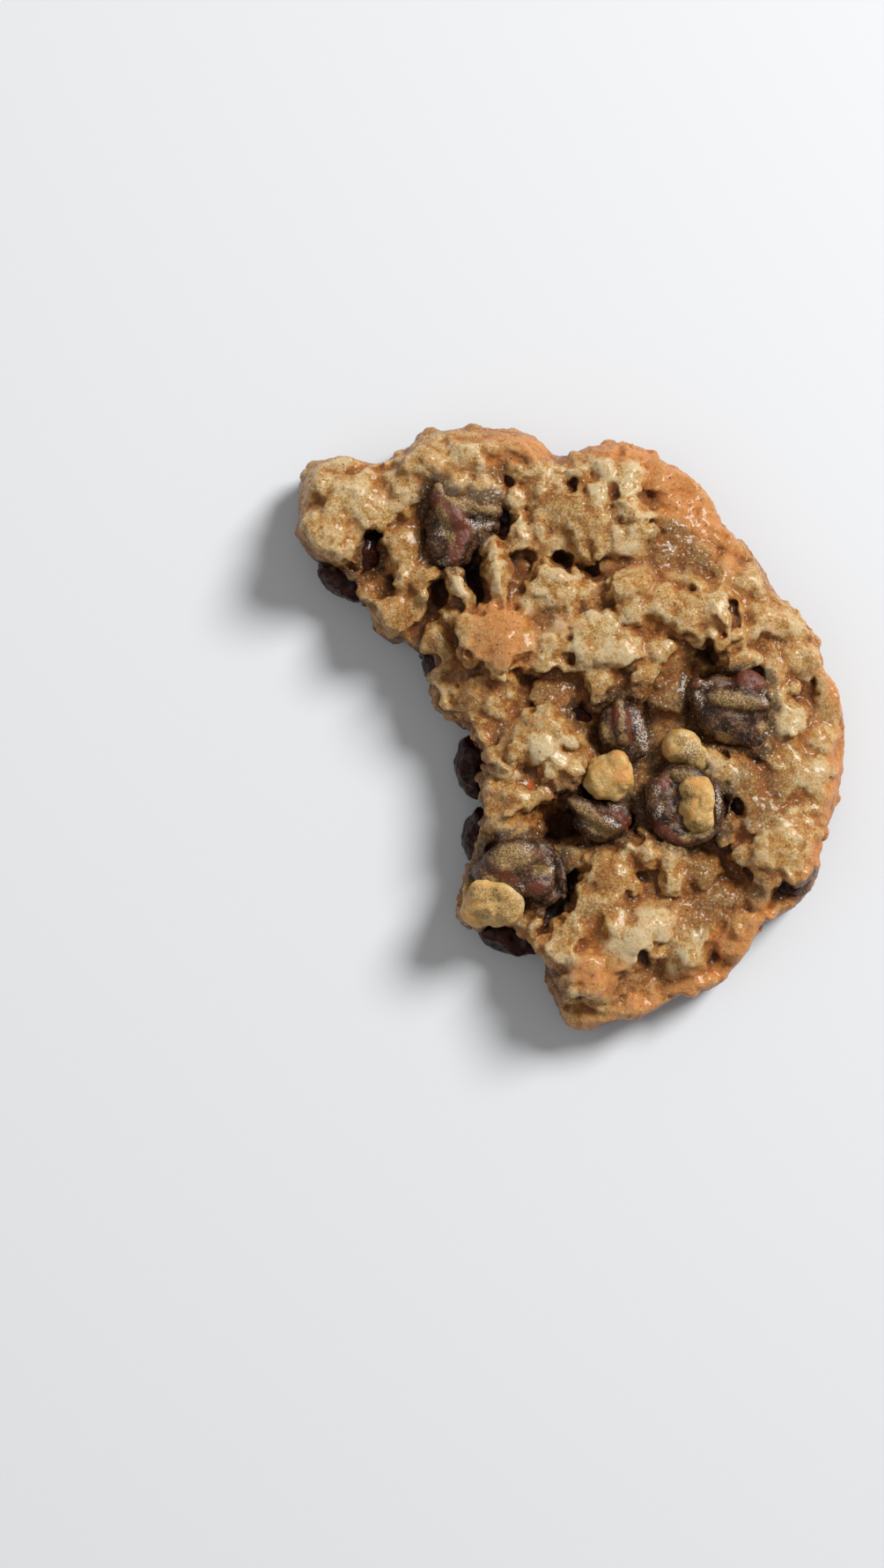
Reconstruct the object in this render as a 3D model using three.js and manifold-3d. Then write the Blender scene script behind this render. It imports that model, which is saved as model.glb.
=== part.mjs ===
// A broken oatmeal chocolate chip cookie: a little over half of it, with one baked and one broken edge.
//
// Millimetres, +Z up, standing on its flat baked underside at z = 0. The origin is under the middle of
// the piece's bounding box. +X is right and +Y is up as the piece is seen from above.
//
// The dough is one solid. Its top is a relief: a low dome with oat clumps, knobs and flakes standing out
// of it and hollows sunk into it. Its side is a wall that follows the outline and is rougher where the
// cookie was pulled apart. The chocolate chips, the melted chocolate at the break and the nuts are pieces
// of their own, and each sits in a pocket of the dough.
import * as THREE from "three";
import { mergeVertices } from "three/addons/utils/BufferGeometryUtils.js";
import Module from "manifold-3d";

// ---- Driving dimensions, in millimetres -------------------------------------------------------------
const pocketGap = 0.34; // clearance between a chip or nut and the dough round it
const reliefStep = 1.22; // spacing of the points on top
const hub = new THREE.Vector2(8, 2); // a point from which the whole outline can be seen
const outlineSteps = 132; // points round the side
const lowest = 0.6; // the relief never comes nearer to the underside than this
const sheet = { halfX: 43.2, halfY: 47.2, floor: -3 }; // the block that the relief is made on

// The dome under the clumps, by the distance in from the edge.
const bakedSide = { edgeHeight: 2.4, shoulder: 7.6, width: 7.5 };
const brokenSide = { edgeHeight: 6.4, shoulder: 8.0, width: 4.0 };
const rimLimit = { baked: 4.0, broken: 18, slope: 2.2 }; // what stands out is no higher than this
const dome = { rise: 1.5, width: 30 }; // how much higher the middle lies than the shoulders

// The baked edge, clockwise from the western tip to the southern corner.
const bakedEdge = [
  [-40.6, 33.6], [-39.2, 38.6], [-35.6, 40.8], [-31.6, 40.5], [-28.4, 39.9], [-25.2, 41.6], [-23.3, 42.6],
  [-22.4, 44.6], [-18.4, 45.0], [-11.3, 45.2], [-7.1, 45.0], [-3.9, 43.1], [-2.4, 40.9], [-0.4, 40.9],
  [3.0, 42.5], [7.1, 43.2], [11.3, 42.3], [14.4, 39.7], [18.1, 37.8], [21.3, 34.4], [23.4, 30.0],
  [26.5, 27.6], [29.0, 24.0], [30.8, 20.4], [33.8, 17.6], [36.5, 13.6], [37.9, 9.0], [39.9, 5.4],
  [40.9, 0.8], [40.4, -6.4], [38.9, -12.4], [36.7, -16.8], [37.2, -20.4], [35.3, -24.0], [32.2, -27.0],
  [28.4, -28.7], [26.4, -32.2], [23.9, -35.6], [21.0, -38.2], [16.2, -39.3], [11.7, -41.8], [7.0, -42.9],
  [2.1, -44.3], [-0.5, -43.6],
];
// The broken edge, from the southern corner back to the western tip.
const brokenEdge = [
  [-2.3, -40.2], [-2.7, -36.6], [-4.6, -32.8], [-7.0, -30.0], [-12.6, -29.4], [-15.7, -27.6], [-16.1, -24.0],
  [-14.9, -20.2], [-13.9, -15.8], [-12.9, -11.0], [-12.4, -7.4], [-13.6, -2.8], [-15.4, 1.2], [-19.4, 4.0],
  [-20.5, 7.8], [-21.3, 11.5], [-24.2, 13.2], [-27.2, 14.6], [-29.2, 17.6], [-32.0, 21.2], [-35.2, 23.8],
  [-38.4, 26.4], [-39.9, 30.0],
];
// How far the side draws in with height, on the baked side and on the broken side.
const sideProfile = [
  { height: -1, baked: 1.3, broken: 0.9 }, { height: 1.2, baked: 0.5, broken: 0.2 },
  { height: 3.2, baked: 0.0, broken: -0.3 }, { height: 5.6, baked: 0.4, broken: 0.0 },
  { height: 8.4, baked: 1.5, broken: 0.3 }, { height: 12, baked: 3.4, broken: 0.7 },
  { height: 18, baked: 8.0, broken: 1.6 },
];
const sideRoughness = { baked: 0.45, broken: 1.5, grain: 1.5 };

// The oat clumps that stand out, each as x, y, half length, half width, turn in degrees, top and depth.
const clumps = {
  tipFlake: [-32.3, 34.7, 6.9, 4.6, -8, 13.0, 5.5],
  tipBall: [-34.7, 28.3, 3.7, 3.6, 0, 13.4, 7.0],
  tipBack: [-25.4, 35.5, 3.4, 3.4, 0, 11.6, 6.0],
  northKnob: [-18.5, 38.6, 5.5, 5.0, 0, 14.6, 8.0],
  northSlope: [-11.6, 38.6, 3.8, 4.6, 0, 13.0, 7.0],
  northBrow: [-7.3, 40.2, 5.0, 3.6, 10, 12.4, 7.0],
  westSaddle: [-24.3, 28.8, 3.4, 4.6, 10, 11.4, 6.0],
  westShoulder: [-25.6, 17.8, 3.4, 4.4, 0, 11.2, 7.0],
  westDrop: [-22.8, 21.0, 2.2, 3.6, 0, 12.0, 6.0],
  toastedBall: [-10.5, 12.9, 5.5, 4.5, 0, 15.6, 8.5],
  ballLedge: [-17.2, 13.3, 3.4, 3.8, 0, 10.8, 6.0],
  ballCheek: [-3.5, 13.2, 3.3, 3.7, 0, 13.4, 6.5],
  leftEar: [-16.4, 19.2, 1.7, 3.3, 20, 14.4, 4.5],
  rightEar: [-11.6, 20.8, 1.9, 4.2, -5, 15.2, 5.0],
  cushionBack: [-4.3, 34.8, 4.6, 3.4, 10, 12.8, 6.0],
  brownCushion: [0.1, 31.2, 6.9, 4.6, -5, 14.2, 7.0],
  paleCorner: [8.4, 29.0, 4.0, 4.6, 15, 14.6, 7.0],
  paleBrow: [5.4, 37.6, 5.8, 3.4, 15, 13.0, 6.5],
  littleHorn: [-3.4, 27.3, 2.6, 3.2, 0, 12.8, 5.5],
  centreKnuckle: [-3.1, 19.4, 4.6, 4.5, 0, 14.6, 7.0],
  goldKnuckle: [9.3, 19.1, 4.2, 3.8, 10, 15.0, 7.0],
  goldLink: [14.0, 18.7, 4.4, 3.2, -20, 14.2, 6.5],
  goldShelf: [18.4, 16.2, 5.4, 4.2, -15, 14.8, 7.5],
  paleLobe: [5.8, 12.2, 5.5, 3.7, -5, 14.6, 6.5],
  paleChin: [5.2, 7.8, 2.0, 2.2, 0, 13.2, 5.0],
  eastLobe: [13.6, 10.2, 4.2, 3.4, 15, 13.2, 6.0],
  glossyField: [16.8, 26.2, 6.4, 4.8, 0, 11.6, 5.5],
  orangeRim: [16.6, 34.4, 4.8, 4.4, -30, 9.8, 7.5],
  crumbRim: [25.6, 22.3, 3.6, 5.4, 30, 9.4, 7.5],
  goldRim: [32.0, 11.5, 4.6, 6.6, 20, 10.4, 8.0],
  eastKnob: [36.4, 0.3, 3.4, 6.0, 0, 9.2, 7.5],
  rimField: [30.8, -5.7, 4.0, 5.8, 0, 11.2, 6.5],
  southEastRim: [35.8, -10.1, 3.4, 6.2, -5, 9.2, 7.5],
  eastWeb: [24.8, -7.2, 4.4, 3.8, -30, 11.4, 6.0],
  cappedHill: [30.8, -18.4, 5.2, 4.9, 20, 12.6, 8.0],
  cappedFoot: [32.0, -24.4, 3.6, 3.0, 20, 8.8, 6.5],
  rimHeel: [25.2, -28.0, 5.0, 4.2, 30, 9.2, 7.5],
  southRimEast: [21.4, -34.0, 4.0, 4.6, -30, 8.4, 7.0],
  southRimWest: [15.8, -35.6, 4.8, 3.6, 10, 8.6, 7.0],
  tanField: [15.3, -26.3, 4.8, 4.6, 0, 10.8, 6.0],
  creamFlake: [8.3, -30.3, 5.8, 3.8, 25, 13.0, 6.0],
  toastedNose: [4.0, -34.6, 5.2, 3.5, -15, 12.6, 7.0],
  southLedge: [5.4, -40.0, 6.4, 3.4, 15, 7.6, 6.5],
  southCorner: [0.2, -39.8, 2.6, 3.8, 0, 7.2, 6.0],
  longRidge: [2.9, -24.3, 7.4, 3.9, 45, 12.2, 7.0],
  bridgeArch: [10.6, -19.0, 4.6, 2.4, -5, 12.2, 5.0],
  westField: [-13.2, 4.9, 6.2, 4.9, -30, 11.4, 7.0],
  wetField: [-1.1, 6.7, 4.8, 3.5, 0, 11.4, 5.5],
  hollowLip: [-5.2, -1.7, 5.9, 4.2, 10, 14.0, 7.0],
  hollowFlake: [-0.2, -4.9, 3.6, 2.2, -20, 13.4, 3.5],
  shellFlake: [-9.8, -10.9, 4.4, 3.6, -10, 13.0, 7.0],
  shellBack: [-3.7, -9.7, 3.8, 4.4, 20, 12.6, 6.5],
  breakCrumb: [-17.6, 6.4, 2.8, 3.1, 0, 8.2, 5.0],
};

// The dark hollows between the clumps, as x, y, half length, half width, turn, floor height and depth.
const hollows = {
  betweenEars: [-13.9, 18.9, 1.5, 2.8, 0, 7.6, 8],
  underTipFlake: [-28.6, 28.4, 1.6, 1.9, 0, 6.4, 7],
  westNotch: [-27.8, 20.7, 1.6, 2.6, -10, 6.4, 6],
  besideHorn: [-0.8, 25.0, 1.9, 1.4, 10, 7.2, 6],
  northSlot: [-8.4, 35.0, 2.0, 1.4, 10, 7.8, 6],
  eastPit: [19.9, 9.4, 2.0, 1.9, 0, 7.0, 7],
  eastSlot: [24.4, 19.6, 1.3, 2.4, 10, 7.0, 5],
  rimPore: [34.4, 5.4, 1.5, 1.4, 0, 6.4, 5],
  rimValley: [34.6, 0.4, 1.5, 2.8, 20, 5.6, 5],
  nutPit: [3.4, -10.9, 2.6, 1.3, -30, 6.6, 7],
  darkHollow: [0.0, -14.0, 2.4, 1.9, 20, 5.8, 7],
  ringPit: [11.0, -12.9, 1.2, 3.0, 0, 6.6, 7],
  archHole: [11.2, -20.9, 2.6, 1.6, -25, 7.6, 5],
  webSlot: [26.6, -10.4, 1.5, 3.0, 25, 7.0, 5],
  wetPore: [-4.1, 4.2, 1.5, 1.3, 0, 7.8, 4],
  chipGully: [-2.6, -23.2, 1.1, 4.2, -15, 6.0, 6],
};

// Chocolate chips as x, y, base radius, height of the drop, tilt from upright, way it leans, and top.
const chips = {
  chocolate_chip_west: [-16.2, 29.0, 5.5, 7.0, 105, -60, 13.2],
  chocolate_chip_east: [23.4, 3.0, 5.4, 6.6, 35, 150, 13.2],
  chocolate_chip_centre: [8.1, 0.6, 3.9, 6.4, 80, 80, 12.6],
  chocolate_chip_ring: [16.0, -12.0, 5.3, 6.2, 172, 30, 13.2],
  chocolate_chip_break: [-7.2, -19.8, 5.5, 6.6, 25, 120, 11.8],
  chocolate_chip_hollow: [5.4, -13.4, 3.9, 5.6, 60, 200, 10.6],
};

// Smaller chips and the melted chocolate that the break laid bare, as x, y, three half sizes, turn, top.
const melts = {
  melted_chip_tip: [-30.4, 26.2, 2.9, 3.0, 2.6, 20, 9.8],
  melted_chip_north: [-9.3, 28.2, 2.4, 3.2, 2.6, 0, 10.2],
  melted_chip_middle: [0.8, 1.8, 2.5, 2.2, 2.4, 0, 10.2],
  melted_chip_rim: [32.6, -22.6, 2.8, 2.0, 2.2, 20, 10.2],
  melted_break_tip: [-33.6, 22.9, 4.6, 2.9, 2.9, -35, 6.6],
  melted_break_upper: [-19.9, 10.0, 1.9, 2.9, 2.6, 0, 7.4],
  melted_break_middle: [-14.4, -5.4, 2.6, 4.6, 2.5, 5, 5.9],
  melted_break_lower: [-13.6, -15.6, 2.3, 4.6, 2.5, -5, 5.7],
  melted_break_south: [-8.9, -30.0, 5.6, 3.0, 2.3, -16, 5.3],
};

// The nuts that stand out of the dough, as x, y, three half sizes, turn in degrees and top.
const nuts = {
  nut_west: [-11.2, -24.3, 4.7, 3.6, 2.6, -8, 13.0],
  nut_middle: [6.1, -8.3, 3.7, 2.9, 2.8, 35, 14.6],
  nut_east: [16.2, -2.7, 3.3, 3.0, 2.8, 0, 12.8],
  nut_ring: [17.9, -11.8, 1.9, 3.7, 1.7, -8, 14.6],
};

// What fills the stretches between the clumps: how many, their sizes, and how far they stand out.
const knobs = { count: 120, smallest: 2.0, largest: 3.6, lowest: 0.3, highest: 1.5, seed: 11 };
const flakes = { count: 70, length: 4.8, width: 3.6, highest: 0.9, steepest: 0.3, seed: 51 };
const rimSway = { slow: 0.1, quick: 0.08 }; // how much the rim of a clump wavers, as a share of its size
const swell = 0.9; // how far the dome itself rises and falls
const grain = 0.3; // how rough the whole top is
const softening = 0.3; // share of each height that comes from its neighbours

// ---- Helpers ----------------------------------------------------------------------------------------
const wasm = await Module();
wasm.setup();
const degrees = Math.PI / 180;

// A repeatable run of numbers from 0 to 1.
function randomRun(seed) {
  let state = seed;
  return () => {
    state = (state * 1664525 + 1013904223) >>> 0;
    return state / 4294967296;
  };
}

function mix(a, b, share) {
  return a + (b - a) * share;
}

// A closed geometry as a solid.
function solidOf(geometry) {
  geometry.deleteAttribute("normal");
  geometry.deleteAttribute("uv");
  const merged = mergeVertices(geometry, 1e-4);
  return new wasm.Manifold(
    new wasm.Mesh({
      numProp: 3,
      vertProperties: new Float32Array(merged.attributes.position.array),
      triVerts: new Uint32Array(merged.index.array),
    }),
  );
}

// A solid as a geometry, with the largest body only, so that a loose scrap is dropped.
function geometryOf(solid) {
  const largest = solid.decompose().reduce((a, b) => (b.volume() > a.volume() ? b : a));
  const mesh = largest.getMesh();
  const geometry = new THREE.BufferGeometry();
  geometry.setAttribute("position", new THREE.BufferAttribute(mesh.vertProperties, 3));
  geometry.setIndex(new THREE.BufferAttribute(mesh.triVerts, 1));
  geometry.computeVertexNormals();
  return geometry;
}

// Waves in seeded directions, which give a smooth value near -1 to 1 at any point.
function waveField(seed, pace) {
  const random = randomRun(seed);
  const waves = Array.from({ length: 6 }, (_, i) => ({
    way: new THREE.Vector3(random() - 0.5, random() - 0.5, random() - 0.5).normalize(),
    pace: pace * (1 + 0.45 * i),
    shift: random() * 6.28,
  }));
  return (point) =>
    waves.reduce((sum, w) => sum + Math.sin(w.way.dot(point) * w.pace + w.shift), 0) / waves.length;
}

// ---- The outline ------------------------------------------------------------------------------------
// Even points round the outline, clockwise, each with how far it is on the broken side, from 0 to 1.
function outlinePoints() {
  const corners = [...bakedEdge, ...brokenEdge].map(([x, y]) => new THREE.Vector3(x, y, 0));
  const curve = new THREE.CatmullRomCurve3(corners, true, "centripetal");
  const breakStart = bakedEdge.length / corners.length;
  return Array.from({ length: outlineSteps }, (_, i) => {
    const along = i / outlineSteps;
    const { x, y } = curve.getPoint(along);
    const inside = Math.min(along - breakStart, 1 - along) * corners.length;
    return { x, y, broken: THREE.MathUtils.clamp(inside, 0, 1) };
  });
}

const outline = outlinePoints();

// How far a place is in from the edge, and how much the nearest edge is a broken one.
function edgeNear(x, y) {
  let near = { distance: Infinity, broken: 0 };
  let within = false;
  outline.forEach((a, i) => {
    const b = outline[(i + 1) % outline.length];
    const [dx, dy] = [b.x - a.x, b.y - a.y];
    const along = THREE.MathUtils.clamp(((x - a.x) * dx + (y - a.y) * dy) / (dx * dx + dy * dy), 0, 1);
    const distance = Math.hypot(x - a.x - dx * along, y - a.y - dy * along);
    if (distance < near.distance) near = { distance, broken: mix(a.broken, b.broken, along) };
    if (a.y > y !== b.y > y && x < a.x + (dx * (y - a.y)) / dy) within = !within;
  });
  return { distance: within ? near.distance : -near.distance, broken: near.broken };
}

// ---- The relief on top ------------------------------------------------------------------------------
const slowWaves = waveField(5, 0.22);
const quickWaves = waveField(6, 1.15);
const tornWaves = waveField(7, 0.75);

// The dome under the clumps: a rounded shoulder all round, and a slow rise towards the middle.
function domeHeight({ distance, broken }) {
  const inward = Math.max(distance, 0);
  const side = (s) => {
    const share = Math.min(inward / s.width, 1);
    return mix(s.edgeHeight, s.shoulder, Math.sqrt(1 - (1 - share) ** 2));
  };
  return mix(side(bakedSide), side(brokenSide), broken) + dome.rise * Math.min(inward / dome.width, 1);
}

// A place in a shape's own axes, with its middle at 0 and its ends at 1.
function inShape(x, y, shape) {
  const [dx, dy] = [x - shape.x, y - shape.y];
  return {
    along: (dx * shape.cos + dy * shape.sin) / shape.halfLength,
    across: (dy * shape.cos - dx * shape.sin) / shape.halfWidth,
  };
}

function shapeAt([x, y, halfLength, halfWidth, turn], more) {
  const angle = turn * degrees;
  return { x, y, halfLength, halfWidth, cos: Math.cos(angle), sin: Math.sin(angle), ...more };
}

// How far out a place lies in a shape whose rim wavers, so that no two are the same.
function wavering(place, shape) {
  const angle = Math.atan2(place.across, place.along);
  const slow = rimSway.slow * Math.sin(2 * angle + shape.shift);
  const quick = rimSway.quick * Math.sin(5 * angle + shape.shift * 3);
  return Math.hypot(place.along, place.across) / (1 + slow + quick);
}

// The top of a clump: nearly flat above, and steep at its rim.
function clumpHeight(x, y, clump) {
  const out = wavering(inShape(x, y, clump), clump);
  if (out >= 1) return -Infinity;
  return clump.top - clump.depth * 0.6 * (1 - Math.sqrt(1 - out ** 2.6));
}

// A flake: a thin sheet at a slant, a little cupped.
function flakeHeight(x, y, flake) {
  const place = inShape(x, y, flake);
  const out = wavering(place, flake);
  if (out >= 1) return -Infinity;
  const slant = flake.slant * place.along + flake.tilt * place.across;
  return flake.middle + slant + flake.cup * out * out;
}

// A hollow: a rounded floor that rises steeply to its rim.
function hollowFloor(x, y, hollow) {
  const out = wavering(inShape(x, y, hollow), hollow);
  return hollow.floor + hollow.depth * out ** 2;
}

const clumpList = Object.values(clumps).map((c, i) => shapeAt(c, { top: c[5], depth: c[6], shift: 2 * i }));
const hollowList = Object.values(hollows).map((h, i) => shapeAt(h, { floor: h[5], depth: h[6], shift: i }));

// A seeded place inside the outline, with the height of the dome there.
function seededPlace(random) {
  for (;;) {
    const x = mix(-sheet.halfX, sheet.halfX, random());
    const y = mix(-sheet.halfY, sheet.halfY, random());
    const edge = edgeNear(x, y);
    if (edge.distance > 0) return { x, y, dome: domeHeight(edge) };
  }
}

function seededKnobs() {
  const random = randomRun(knobs.seed);
  return Array.from({ length: knobs.count }, (_, i) => {
    const place = seededPlace(random);
    const size = mix(knobs.smallest, knobs.largest, random());
    const width = size * mix(0.65, 1, random());
    const stand = mix(knobs.lowest, knobs.highest, random());
    const shape = [place.x, place.y, size, width, random() * 180];
    return shapeAt(shape, { top: place.dome + stand, depth: 2 * (stand + 1.2), shift: i });
  });
}

function seededFlakes() {
  const random = randomRun(flakes.seed);
  return Array.from({ length: flakes.count }, (_, i) => {
    const place = seededPlace(random);
    const size = mix(0.7, 1.05, random());
    const shape = [place.x, place.y, flakes.length * size, flakes.width * size, random() * 180];
    const ground = Math.max(place.dome, ...clumpList.map((c) => clumpHeight(place.x, place.y, c)));
    return shapeAt(shape, {
      middle: ground + mix(-0.2, flakes.highest * 0.4, random()),
      slant: (random() - 0.5) * 2 * flakes.steepest * flakes.length,
      tilt: (random() - 0.5) * 2 * flakes.steepest * flakes.width,
      cup: (random() - 0.35) * 0.9,
      shift: i,
    });
  });
}

const knobList = seededKnobs();
const flakeList = seededFlakes();

// The height of the relief over any place.
function reliefHeight(x, y) {
  const edge = edgeNear(x, y);
  const point = new THREE.Vector3(x, y, 0);
  const drop = Math.min(edge.distance, 0) * 0.5;
  let height = domeHeight(edge) + swell * slowWaves(point) + drop;
  for (const c of [...clumpList, ...knobList]) height = Math.max(height, clumpHeight(x, y, c) + drop);
  for (const f of flakeList) {
    const raised = flakeHeight(x, y, f);
    if (raised > height) height = Math.min(raised, height + flakes.highest);
  }
  for (const h of hollowList) height = Math.min(height, hollowFloor(x, y, h));
  const atEdge = mix(rimLimit.baked, rimLimit.broken, edge.broken);
  const most = atEdge + rimLimit.slope * Math.max(edge.distance, 0);
  return Math.max(Math.min(height + grain * quickWaves(point), most), lowest);
}

// The relief as a closed block over the outline's bounding rectangle.
function reliefBlock() {
  const columns = Math.round((2 * sheet.halfX) / reliefStep);
  const rows = Math.round((2 * sheet.halfY) / reliefStep);
  const at = (column, row) => row * (columns + 1) + column;
  const sharp = [];
  for (let row = 0; row <= rows; row++) {
    for (let column = 0; column <= columns; column++) {
      const x = mix(-sheet.halfX, sheet.halfX, column / columns);
      const y = mix(-sheet.halfY, sheet.halfY, row / rows);
      sharp.push([x, y, reliefHeight(x, y)]);
    }
  }
  const vertices = sharp.map(([x, y, height], i) => {
    const round = [i - 1, i + 1, i - columns - 1, i + columns + 1].map((j) => sharp[j]?.[2] ?? height);
    return [x, y, mix(height, round.reduce((sum, h) => sum + h, 0) / round.length, softening)];
  });
  const faces = [];
  for (let row = 0; row < rows; row++) {
    for (let column = 0; column < columns; column++) {
      const [a, b, c, d] = [
        at(column, row), at(column + 1, row), at(column + 1, row + 1), at(column, row + 1),
      ];
      // Each square is split along its flatter diagonal.
      const flatter = Math.abs(vertices[a][2] - vertices[c][2]) < Math.abs(vertices[b][2] - vertices[d][2]);
      faces.push(...(flatter ? [a, b, c, a, c, d] : [a, b, d, b, c, d]));
    }
  }
  const rim = [];
  for (let column = 0; column < columns; column++) rim.push(at(column, 0));
  for (let row = 0; row < rows; row++) rim.push(at(columns, row));
  for (let column = columns; column > 0; column--) rim.push(at(column, rows));
  for (let row = rows; row > 0; row--) rim.push(at(0, row));
  const firstLow = vertices.length;
  rim.forEach((i) => vertices.push([vertices[i][0], vertices[i][1], sheet.floor]));
  const under = vertices.length;
  vertices.push([0, 0, sheet.floor]);
  rim.forEach((top, i) => {
    const next = (i + 1) % rim.length;
    faces.push(top, firstLow + i, rim[next], rim[next], firstLow + i, firstLow + next);
    faces.push(under, firstLow + next, firstLow + i);
  });
  const geometry = new THREE.BufferGeometry();
  geometry.setAttribute("position", new THREE.Float32BufferAttribute(vertices.flat(), 3));
  geometry.setIndex(faces);
  return geometry;
}

// ---- The side ---------------------------------------------------------------------------------------
// Rings of the outline, drawn in as the side profile says and roughened, closed below and above.
function sideWall() {
  const vertices = [];
  for (const level of sideProfile) {
    outline.forEach((p, i) => {
      const before = outline[(i + outline.length - 1) % outline.length];
      const after = outline[(i + 1) % outline.length];
      const outward = new THREE.Vector2(before.y - after.y, after.x - before.x).normalize();
      const rough = mix(sideRoughness.baked, sideRoughness.broken, p.broken);
      const sway = tornWaves(new THREE.Vector3(p.x, p.y, level.height * sideRoughness.grain));
      const out = rough * sway - mix(level.baked, level.broken, p.broken);
      vertices.push(p.x + outward.x * out, p.y + outward.y * out, level.height);
    });
  }
  const n = outline.length;
  const lastRing = (sideProfile.length - 1) * n;
  const under = vertices.length / 3;
  const above = under + 1;
  vertices.push(hub.x, hub.y, sideProfile[0].height, hub.x, hub.y, sideProfile.at(-1).height);
  const faces = [];
  for (let i = 0; i < n; i++) {
    const next = (i + 1) % n;
    for (let ring = 0; ring < lastRing; ring += n) {
      faces.push(ring + i, ring + n + i, ring + next, ring + next, ring + n + i, ring + n + next);
    }
    faces.push(under, i, next, above, lastRing + next, lastRing + i);
  }
  const geometry = new THREE.BufferGeometry();
  geometry.setAttribute("position", new THREE.Float32BufferAttribute(vertices, 3));
  geometry.setIndex(faces);
  return geometry;
}

function doughSolid(pockets) {
  const below = new THREE.BoxGeometry(200, 200, 40).translate(0, 0, -20);
  const cut = wasm.Manifold.union([solidOf(below), ...pockets]);
  return solidOf(reliefBlock()).intersect(solidOf(sideWall())).subtract(cut);
}

// ---- Chips, melted chocolate and nuts ---------------------------------------------------------------
// A ball whose surface wavers, stretched to three half sizes and turned, with its top at a height.
function lumpGeometry([x, y, halfLength, halfWidth, halfHeight, turn, top], { detail, waver, seed }) {
  const geometry = new THREE.IcosahedronGeometry(1, detail);
  const field = waveField(seed, 2.2);
  const place = geometry.attributes.position;
  const point = new THREE.Vector3();
  for (let i = 0; i < place.count; i++) {
    point.fromBufferAttribute(place, i);
    point.multiplyScalar(1 + waver * field(point.clone()));
    place.setXYZ(i, point.x, point.y, point.z);
  }
  geometry.scale(halfLength, halfWidth, halfHeight);
  geometry.rotateZ(turn * degrees);
  geometry.computeBoundingBox();
  geometry.translate(x, y, top - geometry.boundingBox.max.z);
  return geometry;
}

// A chocolate drop: flat base, full side and a soft peak, with a slight swell from side to side.
function chipGeometry([x, y, radius, height, tilt, lean, top], seed) {
  const profile = [
    [0, 0], [0.8, 0.01], [1, 0.2], [0.9, 0.42], [0.64, 0.68], [0.3, 0.9], [0, 1],
  ].map(([r, z]) => new THREE.Vector2(r * radius, z * height));
  const geometry = new THREE.LatheGeometry(profile, 12);
  geometry.rotateX(Math.PI / 2);
  geometry.translate(0, 0, -height * 0.4);
  const field = waveField(seed, 0.35);
  const place = geometry.attributes.position;
  const point = new THREE.Vector3();
  for (let i = 0; i < place.count; i++) {
    point.fromBufferAttribute(place, i);
    point.multiplyScalar(1 + 0.09 * field(point.clone()));
    place.setXYZ(i, point.x, point.y, point.z);
  }
  geometry.rotateX(tilt * degrees);
  geometry.rotateZ(lean * degrees);
  geometry.computeBoundingBox();
  geometry.translate(x, y, top - geometry.boundingBox.max.z);
  return geometry;
}

// Pushes each point of a closed geometry out along its normal, which makes the pocket for a piece.
function grown(geometry, distance) {
  geometry.deleteAttribute("normal");
  geometry.deleteAttribute("uv");
  const merged = mergeVertices(geometry, 1e-4);
  merged.computeVertexNormals();
  const { position, normal } = merged.attributes;
  for (let i = 0; i < position.count; i++) {
    position.setXYZ(
      i,
      position.getX(i) + normal.getX(i) * distance,
      position.getY(i) + normal.getY(i) * distance,
      position.getZ(i) + normal.getZ(i) * distance,
    );
  }
  return merged;
}

const chocolate = new THREE.MeshStandardMaterial({ color: 0x3a2118, roughness: 0.35, metalness: 0 });
const nutMeat = new THREE.MeshStandardMaterial({ color: 0xc39a5c, roughness: 0.5, metalness: 0 });
const bakedDough = new THREE.MeshStandardMaterial({ color: 0xc4935a, roughness: 0.6, metalness: 0 });

// Every inclusion, first come first: a later one is cut where it would meet an earlier one.
function inclusions() {
  const nut = (sizes, i) => lumpGeometry(sizes, { detail: 2, waver: 0.2, seed: 400 + i });
  const chip = (sizes, i) => chipGeometry(sizes, 500 + i);
  const melt = (sizes, i) => lumpGeometry(sizes, { detail: 1, waver: 0.26, seed: 600 + i });
  const every = (list, shape, material) =>
    Object.entries(list).map(([name, sizes], i) => ({ name, material, geometry: shape(sizes, i) }));
  const wanted = [
    ...every(nuts, nut, nutMeat), ...every(chips, chip, chocolate), ...every(melts, melt, chocolate),
  ];
  const made = [];
  for (const { name, material, geometry } of wanted) {
    const pocket = solidOf(grown(geometry.clone(), pocketGap));
    const solid = made.reduce((rest, earlier) => rest.subtract(earlier.pocket), solidOf(geometry));
    made.push({ name, material, solid, pocket });
  }
  return made;
}

// ---- The whole piece --------------------------------------------------------------------------------
function namedMesh(name, solid, material) {
  const mesh = new THREE.Mesh(geometryOf(solid), material);
  mesh.name = name;
  return mesh;
}

const piece = new THREE.Group();
const included = inclusions();
piece.add(namedMesh("baked_dough", doughSolid(included.map((i) => i.pocket)), bakedDough));
for (const { name, solid, material } of included) piece.add(namedMesh(name, solid, material));

// The origin goes under the middle of the piece.
const box = new THREE.Box3().setFromObject(piece);
piece.position.set(-(box.min.x + box.max.x) / 2, -(box.min.y + box.max.y) / 2, 0);

export default piece;
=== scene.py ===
import math
import random

import bpy
import numpy as np
from mathutils import Matrix, Vector, noise
from mathutils.bvhtree import BVHTree
from mathutils.kdtree import KDTree


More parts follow.
